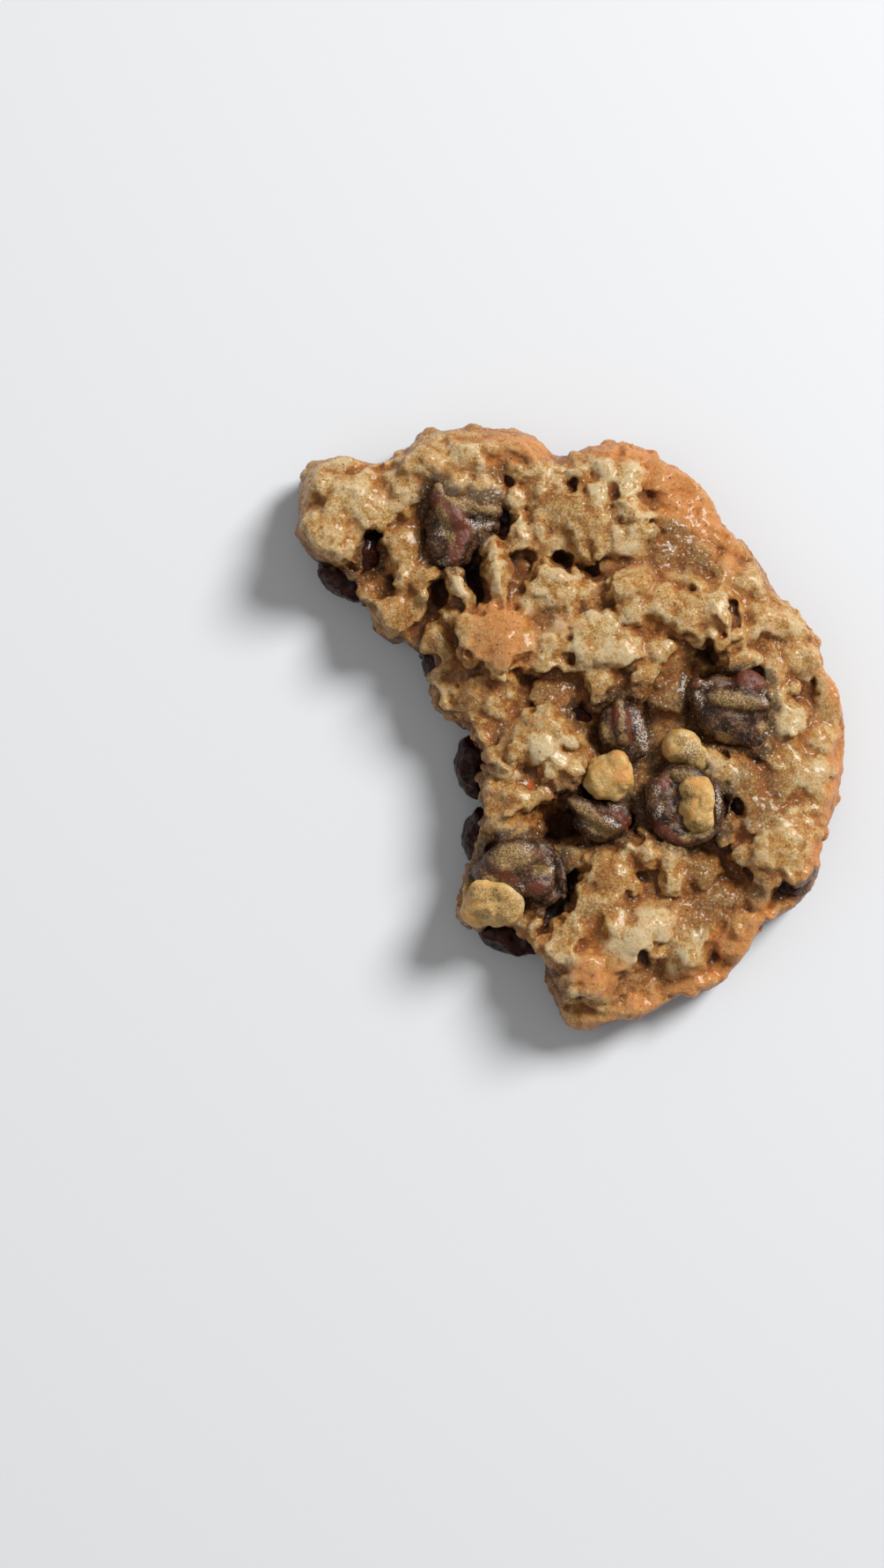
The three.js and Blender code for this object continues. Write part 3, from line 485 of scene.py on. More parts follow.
rimWaver = ((0.09, 2, 1), (0.07, 5, 3))  # depth, waves round a shape's rim, and how fast its shift turns them
waverSteps = {"lumps": 2.1, "holes": 1.7, "fins": 1}  # shift from one shape to the next
lumpSide = (0.7, 0.45)  # mm from a lump's top down to its rim, and more for each mm of half width
midHeight = 10  # mm, keeps the powers of the soft maximum small


def inShape(x, y, row):
    # a place in a shape's own axes, with its middle at 0 and its rim at 1
    centreX, centreY, long, wide, turn = row[:5]
    cos, sin = math.cos(math.radians(turn)), math.sin(math.radians(turn))
    along = ((x - centreX) * cos + (y - centreY) * sin) / long
    across = ((y - centreY) * cos - (x - centreX) * sin) / wide
    return along, across


def outOf(along, across, shift):
    # how far out a place lies in a shape whose rim wavers
    angle = np.arctan2(across, along)
    waver = 1
    for depth, waves, turn in rimWaver:
        waver = waver + depth * np.sin(waves * angle + turn * shift)
    return np.hypot(along, across) / waver


def lumpHeight(halfWidth):
    return lumpSide[1] * halfWidth + lumpSide[0]


def lumpTop(x, y, row, shift, look, grow=0.0):
    # the height of one lump, and of the skirt round it, at each place
    centreX, centreY, long, wide, turn, top = row
    long, wide = long + grow, wide + grow
    along, across = inShape(x, y, (centreX, centreY, long, wide, turn))
    out = outOf(along, across, shift)
    way = look["tiltTurn"] * shift
    level, over = look["tiltBelow"]
    tilt = look["lumpTilt"] * min(1, (level - top) / over)
    lean = math.cos(way) * along * long + math.sin(way) * across * wide
    rounder, widest = look["powerFall"]
    power = look["lumpPower"] - rounder * min(wide, widest)
    rounding = 1 - np.sqrt(1 - np.minimum(out, 1) ** power)
    skirt = look["lumpSkirt"] * wide * np.maximum(out - 1, 0)
    return top + tilt * lean / np.maximum(out, 1) - lumpHeight(wide) * rounding - skirt


def powerOf(height, softness):
    # the logarithm of a sum of these is the soft maximum of the heights
    return np.exp((height - midHeight) / softness)


def heightOf(powers, softness):
    return midHeight + softness * np.log(powers)


def lumpRows(ground, evenGrid):
    # the named lumps, each raised until it stands over the ground as its kind does
    rows = []
    for kind, members in lumps.items():
        middles = np.array([row[:2] for row in members.values()]) * mm + np.array(planShift)[:2]
        least = evenGrid[ground.cellsAt(middles)] + lumpStand[kind]
        rows += [(*row[:5], max(row[5], low)) for row, low in zip(members.values(), least)]
    return rows


def fillRows(x, y, ground, fills, draw):
    # small lumps crowded over the ground
    rows = []
    for _ in range(fills["count"]):
        middle = draw.randrange(len(x))
        long = draw.uniform(*fills["size"])
        wide = long * draw.uniform(*fills["width"])
        top = min(ground[middle] + draw.uniform(*fills["above"]), fills["highest"])
        rows.append((x[middle], y[middle], long, wide, draw.uniform(0, 360), top))
    return rows


def layFlakes(x, y, height, flakes, draw):
    # thin flakes lying at a slant, so that one side stands clear of the ground
    for _ in range(flakes["count"]):
        middle = draw.randrange(len(x))
        long = draw.uniform(*flakes["length"])
        row = (x[middle], y[middle], long, long * draw.uniform(*flakes["width"]), draw.uniform(0, 360))
        along, across = inShape(x, y, row)
        near = np.abs(along) + np.abs(across) < flakes["reach"]
        along, across = along[near], across[near]
        out = outOf(along, across, draw.uniform(0, flakes["waver"]))
        slant = draw.gauss(0, flakes["tilt"]) * along + draw.gauss(0, flakes["tilt"]) * across
        slant = flakes["slope"] * long * slant
        sheet = height[middle] + draw.uniform(*flakes["above"]) + slant
        before = height[near]
        raised = np.clip(sheet, before, before + flakes["stand"])
        height[near] = np.where(out < 1, raised, before)


def surfacePlace(tree, draw, sideShare, look):
    # a seeded place on the top, or on the side for a share of the draws
    while True:
        x = draw.uniform(cadBox[0][0], cadBox[1][0])
        y = draw.uniform(cadBox[0][1], cadBox[1][1])
        if draw.random() < sideShare:
            turn = draw.uniform(0, 2 * math.pi)
            out = Vector((math.cos(turn), math.sin(turn), 0))
            middle = Vector((*(m * mm for m in look["middle"]), draw.uniform(*look["heights"]) * mm))
            hit, normal, _, _ = tree.ray_cast(middle + out * (look["beside"] * mm), -out)
        else:
            hit, normal, _, _ = tree.ray_cast(Vector((x, y, look["over"] * mm)), Vector((0, 0, -1)))
        if hit is not None and normal.z > look["leastUp"]:
            return hit, normal


def placed(hit, normal, turn, sizes, lift):
    upright = normal.to_track_quat("Z", "Y").to_matrix()
    place = (upright @ Matrix.Rotation(turn, 3, "Z") @ Matrix.Diagonal(sizes)).to_4x4()
    place.translation = hit + normal * lift
    return place


def scatteredBits(tree, look):
    # knobs and crumbs of dough all over the top and the sides
    draw = random.Random(look["seeds"]["bits"])
    pieces = []
    for name in ("knobs", "crumbs"):
        bits = look[name]
        balls = [unitBall(bits["detail"], bits["rough"], i) for i in range(bits["kinds"])]
        places = []
        for _ in range(bits["count"]):
            hit, normal = surfacePlace(tree, draw, bits["onSides"], look["bitsFrom"])
            size = draw.uniform(*bits["size"])
            wide, high = size * draw.uniform(*bits["width"]), size * draw.uniform(*bits["height"])
            ball, turn = draw.randrange(bits["kinds"]), draw.uniform(0, fullTurn)
            sizes = Vector((size, wide, high)) * mm
            places.append((ball, placed(hit, normal, turn, sizes, bits["lift"] * mm)))
        pieces.append(repeated(balls, places, name))
    return pieces


class HeightMap:
    # the highest point over each square of a grid laid over the piece
    margin = 6 * mm
    least = 0.5 * mm  # height that counts as inside the outline

    def __init__(self, points, step):
        self.step = step
        self.low = points.min(0)[:2] - self.margin
        size = np.ceil((points.max(0)[:2] + self.margin - self.low) / step).astype(int) + 1
        self.heights = np.zeros(size)
        np.maximum.at(self.heights, self.cellsAt(points), points[:, 2])
        self.within = self.heights > self.least

    def cellsAt(self, points):
        cell = ((points[:, :2] - self.low) / self.step).astype(int)
        cell = np.clip(cell, 0, np.array(self.heights.shape) - 1)
        return cell[:, 0], cell[:, 1]

    def evened(self, reach):
        # each height as the mean of what lies round it inside the outline
        total, count = self.heights * self.within, self.within.astype(float)
        for _ in range(max(1, int((reach / self.step) ** 2))):
            total, count = spread(total), spread(count)
        return np.where(self.within, total / np.maximum(count, 1e-6), 0)

    def inward(self, most):
        # the distance in from the outline
        inside, distance = self.within, np.zeros(self.heights.shape)
        for _ in range(int(most / self.step)):
            inside = inside & (spread(inside.astype(float)) > 0.999)
            distance += inside * self.step
        return distance


def spread(grid):
    # each value shared with its four neighbours
    whole = np.pad(grid, 1, mode="edge")
    return (4 * grid + whole[:-2, 1:-1] + whole[2:, 1:-1] + whole[1:-1, :-2] + whole[1:-1, 2:]) / 8


def digHoles(height, x, y, wall):
    for index, row in enumerate(holes.values()):
        out = outOf(*inShape(x, y, row), waverSteps["holes"] * index)
        floor = row[5] + wall["floor"] + wall["shallower"] * max(0, wall["narrow"] - row[3])
        height = np.minimum(height, floor + wall["rise"] * out ** wall["power"])
    return height


def pressRoundInclusions(height, flat, x, y, press):
    # lays the dough down beside the lobes of the chips and nuts
    x = (1 - press["warp"]) * flat[:, 0] + press["warp"] * x
    y = (1 - press["warp"]) * flat[:, 1] + press["warp"] * y
    for shape in inclusionShapes.values():
        for row in shape["lobes"]:
            out = np.hypot(*inShape(x, y, row))
            side = press["rise"] * row[3] * np.maximum(out - press["from"], 0)
            height = np.minimum(height, row[5] - press["below"] + side)
    return height


def liftTop(points, normals, look):
    # moves the up-facing part of the surface to the relief
    ground = HeightMap(points, look["gridStep"])
    cell = ground.cellsAt(points)
    evenGrid = ground.evened(look["evenOver"] * mm) / mm
    even = evenGrid[cell]
    edgeHeight = ground.evened(look["edgeOver"] * mm)[cell] / mm
    inward = ground.inward(look["inwardMost"] * mm)[cell] / mm
    flat, onFloor = fromMiddle(points), points * np.array((1, 1, 0))
    x, y = flat[:, 0].copy(), flat[:, 1].copy()
    for index, (size, reach) in enumerate(look["warps"]):
        x += reach * noiseAt(onFloor, size * mm, noiseSeeds["warps"] + 2 * index)
        y += reach * noiseAt(onFloor, size * mm, noiseSeeds["warps"] + 2 * index + 1)
    softness, seeds = look["softness"], look["seeds"]
    powers = powerOf(even - look["letDown"] * softStep(inward, *look["letDownFrom"]), softness)
    for index, row in enumerate(lumpRows(ground, evenGrid)):
        powers += powerOf(lumpTop(x, y, row, waverSteps["lumps"] * index, look, look["lumpGrow"]), softness)
    named = heightOf(powers, softness)
    for index, row in enumerate(fillRows(x, y, named, look["fills"], random.Random(seeds["fills"]))):
        powers += powerOf(lumpTop(x, y, row, waverSteps["lumps"] * index, look), softness)
    room, roomInward = look["edgeRoom"]
    height = np.minimum(heightOf(powers, softness), edgeHeight + room + roomInward * inward)
    layFlakes(x, y, height, look["flakes"], random.Random(seeds["flakes"]))
    size, reach = look["holeWarp"]
    uneven = reach * noiseAt(onFloor, size * mm, noiseSeeds["holes"])
    height = digHoles(height, x + uneven, y - uneven, look["holeWall"])
    height = pressRoundInclusions(height, flat, x, y, look["pressed"])
    height = np.clip(height, look["lowest"], cadBox[1][2] / mm)
    above = (height - even) * softStep(inward, *look["overhangFrom"])
    for index, row in enumerate(fins.values()):
        out = outOf(*inShape(flat[:, 0], flat[:, 1], row), waverSteps["fins"] * index)
        fin = row[5] - look["finTop"] * np.minimum(out, 1) ** 2 - look["finSide"] * np.maximum(out - 1, 0)
        above = np.where(fin > height, 0, above)
        height = np.maximum(height, fin)
    low, high = look["liftedAbove"]
    share = softStep(normals[:, 2], *look["liftedFacing"]) * softStep(points[:, 2], low * mm, high * mm)
    points[:, 2] += (height * mm - points[:, 2]) * share
    points[:, :2] += (above * share * mm)[:, None] * np.array(look["overhang"])


def cellSwell(points, look):
    # bulges that crowd against each other, with a crease where two of them meet
    swell = np.zeros(len(points))
    for width, depth in look["cells"]:
        shares = np.empty(len(points))
        for i, point in enumerate(points):
            nearest, second = noise.voronoi(Vector(point) / (width * mm))[0][:2]
            crease = min((second - nearest) / look["crease"], 1)
            shares[i] = crease * (1 - min(nearest, 1) ** 2) - look["cellLevel"]
        swell += shares * depth
    return swell


def digPores(points, normals, pores, draw):
    tree = KDTree(len(points))
    for index, point in enumerate(points):
        tree.insert(point, index)
    tree.balance()
    for _ in range(pores["count"]):
        centre = draw.randrange(len(points))
        if normals[centre, 2] < pores["leastUp"]:
            continue
        radius = draw.uniform(*pores["radius"]) * mm
        depth = radius * draw.uniform(*pores["depth"])
        reach = radius * pores["reach"]
        for _, index, distance in tree.find_range(points[centre], reach):
            share = max(0.0, 1 - distance / reach)
            points[index] -= normals[centre] * depth * share * share * (3 - 2 * share)


def brokenSide(points, normals, look):
    # 1 on the side walls inside the circle of the whole cookie, 0 elsewhere
    middle = np.array((*look["wholeMiddle"], 0)) * mm + np.array(planShift)
    out = np.hypot(*(points - middle)[:, :2].T) / mm
    side = 1 - softStep(np.abs(normals[:, 2]), *look["wallFacing"])
    full, none = look["brokenWithin"]
    return side * (1 - softStep(out, look["wholeRadius"] - full, look["wholeRadius"] - none))


def keepInside(points, room):
    low, high = np.array(cadBox[0]), np.array(cadBox[1])
    room = np.array(room) * mm
    return np.clip(points, low - room * (1, 1, 0), high + room)


def thinUnderside(piece, underside):
    selectOnly(piece)
    low = [p.center.z < underside["below"] * mm for p in piece.data.polygons]
    bpy.ops.object.mode_set(mode="EDIT")
    bpy.ops.mesh.select_all(action="DESELECT")
    bpy.ops.object.mode_set(mode="OBJECT")
    piece.data.polygons.foreach_set("select", low)
    bpy.ops.object.mode_set(mode="EDIT")
    bpy.ops.mesh.select_mode(type="FACE")
    bpy.ops.mesh.decimate(ratio=underside["share"])
    bpy.ops.object.mode_set(mode="OBJECT")


def makeDough(look):
    dough = copyOfNode("baked_dough", "dough")
    voxel = look["voxel"]
    firstPasses, secondPasses = look["smoothPasses"]
    remesh(dough, voxel, firstPasses)
    points = pointsOf(dough)
    liftTop(points, normalsOf(dough), look)
    setPoints(dough, points)
    joinInto(dough, scatteredBits(treeOf(dough), look))
    remesh(dough, voxel, secondPasses)
    print("stage: dough remeshed,", len(dough.data.polygons), "faces")
    points, normals = pointsOf(dough), normalsOf(dough)
    size, reach = look["grit"]
    swell = cellSwell(points, look) + reach * noiseAt(points, size * mm, noiseSeeds["grit"])
    crumbly = brokenSide(points, normals, doughFinish)
    for size, reach in look["crumble"]:
        swell += crumbly * reach * noiseAt(points, size * mm, noiseSeeds["crumble"])
    low, high = look["roughAbove"]
    rough = softStep(points[:, 2], low * mm, high * mm)
    points = points + normals * (swell * rough * mm)[:, None]
    digPores(points, normals, look["pores"], random.Random(look["seeds"]["pores"]))
    setPoints(dough, keepInside(points, look["pastBox"]))
    thinUnderside(dough, look["underside"])
    print("stage: dough of", len(dough.data.polygons), "faces")
    return dough


# What the dough's finish reads at each point. Lengths without a unit are in mm.
doughFinish = {
    "wholeMiddle": (-4.0, -0.8), "wholeRadius": 44.3,  # the circle that the whole cookie filled
    "brokenWithin": (7, 4),  # in from that circle, where a wall is fully a broken one and where not yet
    "wallFacing": (0.4, 0.8),  # how level a face may be and still be a wall
    "rimWidth": 4.5,
    "rimWarps": ((5, 1.6), (1.8, 0.8)),  # size and reach of what makes the browned rim uneven
    "rimToast": 0.75,
    "rimLeast": 0.2,  # share of that on the side that browned least
    "rimFacing": (-0.40, 0.25),  # from that side to the one that browned most
    "undersideToast": 0.6,
    "downFacing": (-0.7, -0.2),
    "rimDries": 0.8,  # share of the wetness that the browned rim takes away
    "tintWarp": (2.2, 0.55),  # size and reach of what makes the lumps' tints uneven
    "tintDepth": 1.6,  # how far down a lump's tint reaches, for each mm of its height
    "plainWeight": 0.12,  # of the finish between the lumps, beside 1 for a lump
    "tintPasses": 10,
    "crest": (14, 0.35),  # smoothing passes, and the height that counts as fully raised
    "mound": (160, 1.6),
    "gridStep": 0.35 * mm,
    "evenOver": 3.0,  # over which the ground is evened to tell how deep a point lies
    "inwardMost": 4,
    "depthShade": 0.12,  # loss of sky for each mm of depth
    "depths": (0.8, 4),  # where that begins, and the mm over which it grows
    "openFacing": (0.1, 0.5), "openInward": (1, 3),  # where it counts
    "holeShade": 0.10,  # loss of sky in a named hole
    "holeRim": (0.5, 1.25),
    "skySteps": (0.5, 0.9, 1.4, 2.0, 2.8, 3.8, 5.0),
    "skyWays": 12,
    "skyPasses": 2,
    "stainReach": (0.4, 3.0),  # from the chocolate
    "spotRim": 0.3,
}
orangeSpots = {"hollow": (-6.0, -8.5, 0.8)}


def toastAt(points, look):
    # how browned the rim is at each point
    x, y = fromMiddle(points)[:, :2].T
    dx, dy = x - look["wholeMiddle"][0], y - look["wholeMiddle"][1]
    out = np.hypot(dx, dy)
    for index, (size, reach) in enumerate(look["rimWarps"]):
        out = out + reach * noiseAt(points, size * mm, noiseSeeds["rim"] + index)
    rim = softStep(out, look["wholeRadius"] - look["rimWidth"], look["wholeRadius"])
    facing = softStep(dx / np.maximum(out, 1), *look["rimFacing"])
    return look["rimToast"] * rim * (look["rimLeast"] + (1 - look["rimLeast"]) * facing)


def lumpTints(points, look):
    # each point takes the finish of the lumps that it lies in or near
    size, reach = look["tintWarp"]
    moved = [noiseAt(points, size * mm, noiseSeeds["tints"] + k) for k in range(3)]
    warped = fromMiddle(points) + reach * np.stack(moved, 1)
    total = np.tile(np.array(plainFinish) * look["plainWeight"], (len(points), 1))
    weight = np.full(len(points), look["plainWeight"])
    for kind, rows in dict(lumps, fin=fins).items():
        for row in rows.values():
            along, across = inShape(warped[:, 0], warped[:, 1], row)
            deep = np.minimum((warped[:, 2] - row[5]) / (look["tintDepth"] * lumpHeight(row[3])), 0)
            share = 1 / (1 + (along ** 2 + across ** 2 + deep ** 2) ** 3)
            total += share[:, None] * np.array(lumpFinish[kind])
            weight += share
    return total / weight[:, None]


def skyAt(points, ground, look):
    # the share of the sky that each point sees past what stands round it
    seen = np.zeros(len(points))
    for way in range(look["skyWays"]):
        angle = 2 * math.pi * way / look["skyWays"]
        steepest = np.zeros(len(points))
        for reach in look["skySteps"]:
            away = np.array((math.cos(angle), math.sin(angle), 0)) * reach * mm
            rise = ground.heights[ground.cellsAt(points + away)] - points[:, 2]
            steepest = np.maximum(steepest, rise / (reach * mm))
        seen += 1 - steepest / np.sqrt(1 + steepest ** 2)
    return seen / look["skyWays"]


def dimmedSky(points, normals, look):
    # that share, less what the low ground and the named holes take from it
    ground = HeightMap(points, look["gridStep"])
    cell = ground.cellsAt(points)
    depth = (ground.evened(look["evenOver"] * mm)[cell] - points[:, 2]) / mm
    near, far = look["openInward"]
    openness = softStep(normals[:, 2], *look["openFacing"])
    openness = openness * softStep(ground.inward(look["inwardMost"] * mm)[cell], near * mm, far * mm)
    start, most = look["depths"]
    sky = skyAt(points, ground, look) - look["depthShade"] * np.clip(depth - start, 0, most) * openness
    flat = fromMiddle(points)
    for row in holes.values():
        out = np.hypot(*inShape(flat[:, 0], flat[:, 1], row))
        sky -= look["holeShade"] * max(1, row[3]) * (1 - softStep(out, *look["holeRim"]))
    return sky


def raisedAt(points, normals, edges, passes, height):
    # how far each point stands out of the smoothed surface
    return np.sum((points - smoothed(points, edges, passes)) * normals, axis=1) / (height * mm)


def distanceTo(points, trees, most):
    near = np.full(len(points), most)
    for tree in trees:
        for index, point in enumerate(points):
            hit = tree.find_nearest(Vector(point), near[index])
            if hit[0] is not None:
                near[index] = hit[3]
    return near


def markDough(piece, look, chocolates):
    points, normals, edges = pointsOf(piece), normalsOf(piece), edgesOf(piece)
    crest = smoothed(raisedAt(points, normals, edges, *look["crest"]), edges, 1)[:, 0]
    mound = raisedAt(points, normals, edges, *look["mound"])
    setAttribute(piece, "crest", np.clip(0.5 + 0.5 * crest, 0, 1))
    setAttribute(piece, "mound", np.clip(0.5 + 0.5 * mound, 0, 1))
    setAttribute(piece, "sky", smoothed(dimmedSky(points, normals, look), edges, look["skyPasses"])[:, 0])
    shade, toast, wet = smoothed(lumpTints(points, look), edges, look["tintPasses"]).T
    rim = toastAt(points, look)
    below = 1 - softStep(normals[:, 2], *look["downFacing"])
    setAttribute(piece, "shade", shade)
    setAttribute(piece, "toast", np.maximum(np.maximum(toast, rim), below * look["undersideToast"]))
    setAttribute(piece, "wet", wet * (1 - look["rimDries"] * rim) * (1 - below))
    flat, spot = fromMiddle(points), np.zeros(len(points))
    for x, y, radius in orangeSpots.values():
        out = np.hypot(flat[:, 0] - x, flat[:, 1] - y)
        spot = np.maximum(spot, 1 - softStep(out, look["spotRim"] * radius, radius))
    setAttribute(piece, "spot", spot)
    near, far = (reach * mm for reach in look["stainReach"])
    setAttribute(piece, "stain", 1 - softStep(distanceTo(points, chocolates, far), near, far))


class Finish:
    # a node material in the making, whose colour is laid on in layers, with sizes and depths in mm
    def __init__(self, name, base, steps):
        self.material = bpy.data.materials.new(name)
        self.material.use_nodes = True
        self.tree = self.material.node_tree
        self.shader = self.tree.nodes["Principled BSDF"]
        self.place = self.node("ShaderNodeTexCoord").outputs["Object"]
        self.colour = base
        self.steps = steps

    def node(self, kind, inputs=(), **settings):
        node = self.tree.nodes.new(kind)
        for setting, value in settings.items():
            setattr(node, setting, value)
        for socket, value in dict(inputs).items():
            if isinstance(value, bpy.types.NodeSocket):
                self.tree.links.new(value, node.inputs[socket])
            else:
                node.inputs[socket].default_value = value
        return node

    def noise(self, size, detail, roughness=0.55):
        values = {"Vector": self.place, "Scale": 1 / (size * mm), "Detail": detail, "Roughness": roughness}
        return self.node("ShaderNodeTexNoise", values).outputs["Fac"]

    def cells(self, size):
        values = {"Vector": self.place, "Scale": 1 / (size * mm)}
        return self.node("ShaderNodeTexVoronoi", values).outputs["Distance"]

    def chaff(self, bend, kinds):
        # one value for each cell, with uneven rims, as flakes of several sizes have
        size, reach = bend
        values = {"Vector": self.place, "Scale": 1 / (size * mm), "Detail": 3}
        wander = {0: self.node("ShaderNodeTexNoise", values).outputs["Color"], "Scale": reach * mm}
        moved = self.node("ShaderNodeVectorMath", wander, operation="SCALE").outputs["Vector"]
        bent = self.node("ShaderNodeVectorMath", {0: self.place, 1: moved}, operation="ADD").outputs["Vector"]
        total = 0.0
        for size, weight in kinds:
            values = {"Vector": bent, "Scale": 1 / (size * mm)}
            flake = self.node("ShaderNodeTexVoronoi", values).outputs["Color"]
            total = self.sum(total, self.times(flake, weight))
        return total

    def attribute(self, name):
        return self.node("ShaderNodeAttribute", attribute_name=name).outputs["Fac"]

    def step(self, value, name):
        # a soft step between two values, from a least share to a greatest one
        low, high, least, most = (*self.steps[name], 0, 1)[:4]
        values = {"Value": value, "From Min": low, "From Max": high, "To Min": least, "To Max": most}
        return self.node("ShaderNodeMapRange", values, interpolation_type="SMOOTHSTEP").outputs["Result"]

    def maths(self, operation, first, second):
        return self.node("ShaderNodeMath", {0: first, 1: second}, operation=operation).outputs["Value"]

    def times(self, first, second):
        return self.maths("MULTIPLY", first, second)

    def sum(self, first, second):
        return self.maths("ADD", first, second)

    def greater(self, first, second):
        return self.maths("MAXIMUM", first, second)

    def blend(self, share, first, second, how="MIX"):
        values = {0: share, 6: first, 7: second}
        return self.node("ShaderNodeMix", values, data_type="RGBA", blend_type=how).outputs[2]

    def lay(self, share, colour, how="MIX"):
        self.colour = self.blend(share, self.colour, colour, how)

    def bumps(self, layers):
        # the normal of several heights on top of each other, each with its depth and strength
        normal = None
        for height, depth, strength in layers:
            values = {"Height": height, "Distance": depth * mm, "Strength": strength}
            if normal is not None:
                values["Normal"] = normal
            normal = self.node("ShaderNodeBump", values).outputs["Normal"]
        return normal

    def finished(self, roughness, normal, body):
        self.tree.links.new(self.colour, self.shader.inputs["Base Color"])
        self.tree.links.new(roughness, self.shader.inputs["Roughness"])
        self.tree.links.new(normal, self.shader.inputs["Normal"])
        for socket, value in body.items():
            self.shader.inputs[socket].default_value = value
        return self.material


doughColours = {
    # amber is painted shade for the low ground
    "amber": srgb(170, 94, 24), "brown": srgb(160, 98, 40), "tan": srgb(202, 146, 68),
    "pale": srgb(226, 188, 122), "cream": srgb(242, 216, 168),
    "toast": srgb(230, 150, 76), "darkToast": srgb(172, 88, 34), "wet": srgb(134, 90, 44),
    "speck": srgb(104, 58, 24), "grain": srgb(132, 84, 40),
    # glint and sparkle are painted highlights
    "glint": srgb(242, 214, 168), "sparkle": srgb(250, 240, 218),
    # painted shade for the hollows: shadow, deep and the darkest of them
    "shadow": (0.96, 0.76, 0.42, 1), "deep": srgb(98, 46, 10), "darkestShade": srgb(30, 14, 6),
    "stain": srgb(80, 50, 26), "spot": srgb(216, 98, 44),
}
doughTexture = {
    "noises": {  # size, detail and roughness
        "broad": (5.0, 2), "warm": (3.1, 3), "patchy": (1.9, 4, 0.6), "grain": (0.7, 5, 0.7),
        "fine": (0.34, 4, 0.85),
    },
    "pores": 1.5,
    "glintDots": 0.8,
    "bend": (1.1, 1.0),  # size and reach of what bends the flakes' rims
    "flakes": ((2.2, 1.0), (1.0, 0.6)),  # size and weight
    "bumps": {"flakes": (0.36, 1.0), "grain": (0.30, 0.8), "fine": (0.34, 1.0), "pores": (0.22, 0.8)},
    "body": {
        "Subsurface Weight": 0.18, "Subsurface Radius": (1.0, 0.45, 0.18), "Subsurface Scale": 1.0 * mm,
        "Specular IOR Level": 0.45, "Coat Weight": 0.28, "Coat Roughness": 0.14,
    },
}
# Where each layer begins and is full, and its least and greatest share where those aren't 0 and 1.
doughSteps = {
    # the crest step lays painted light on the crests and painted shade in the creases
    "patchyShade": (0.3, 0.7, -0.26, 0.28), "crestShade": (0.25, 0.75, -0.2, 0.2),
    "fineShade": (0.40, 0.60, -0.20, 0.22), "flakeShade": (0.3, 1.3, -0.18, 0.18),
    "tan": (0.05, 0.45), "pale": (0.40, 0.80), "cream": (0.66, 1.05),
    # the flank step lays painted shade on the low ground
    "lowGroundShade": (0.6, 0.36, 0, 0.7), "flankPatches": (0.35, 0.6, 0.5, 1), "warm": (0.5, 0.68, 0, 0.28),
    "toastPatches": (0.34, 0.60, 0.48, 1.0), "toast": (0.08, 0.75, 0, 0.85),
    "burntGrain": (0.46, 0.66), "burnt": (0.3, 0.95, 0, 0.8),
    "sunk": (0.56, 0.34, 0, 0.8), "sunkPatches": (0.35, 0.6), "wetPatches": (0.3, 0.6, 0.45, 1),
    "wet": (0.1, 1.0, 0, 0.8), "stainPatches": (0.3, 0.62, 0.25, 1.0), "stain": (0.15, 0.8, 0, 0.85),
    # the glint and dot steps lay painted highlights
    "specks": (0.54, 0.68), "wetSpecks": (0, 1, 0.3, 0.8), "glints": (0.56, 0.64),
    "wetGlints": (0, 0.8, 0.25, 0.8), "dull": (0.45, 0.37), "wetDull": (0, 0.8, 0.12, 0.65),
    "glintDots": (0.26, 0.16), "wetGlintDots": (0, 0.6, 0.15, 0.9), "glintDotGrain": (0.46, 0.56),
    # the shadow, deep and darkest steps lay painted shade in the hollows
    "pores": (0.13, 0.05, 0, 0.75), "shadow": (0.80, 0.42, 0, 0.8), "deep": (0.50, 0.28, 0, 0.7),
    "darkestShade": (0.34, 0.18, 0, 0.94), "shadeNearChocolate": (0.0, 0.4, 0.45, 1.0),
    "gloss": (0.0, 0.9, 0.46, 0.24), "poreDepth": (0.02, 0.16),
}


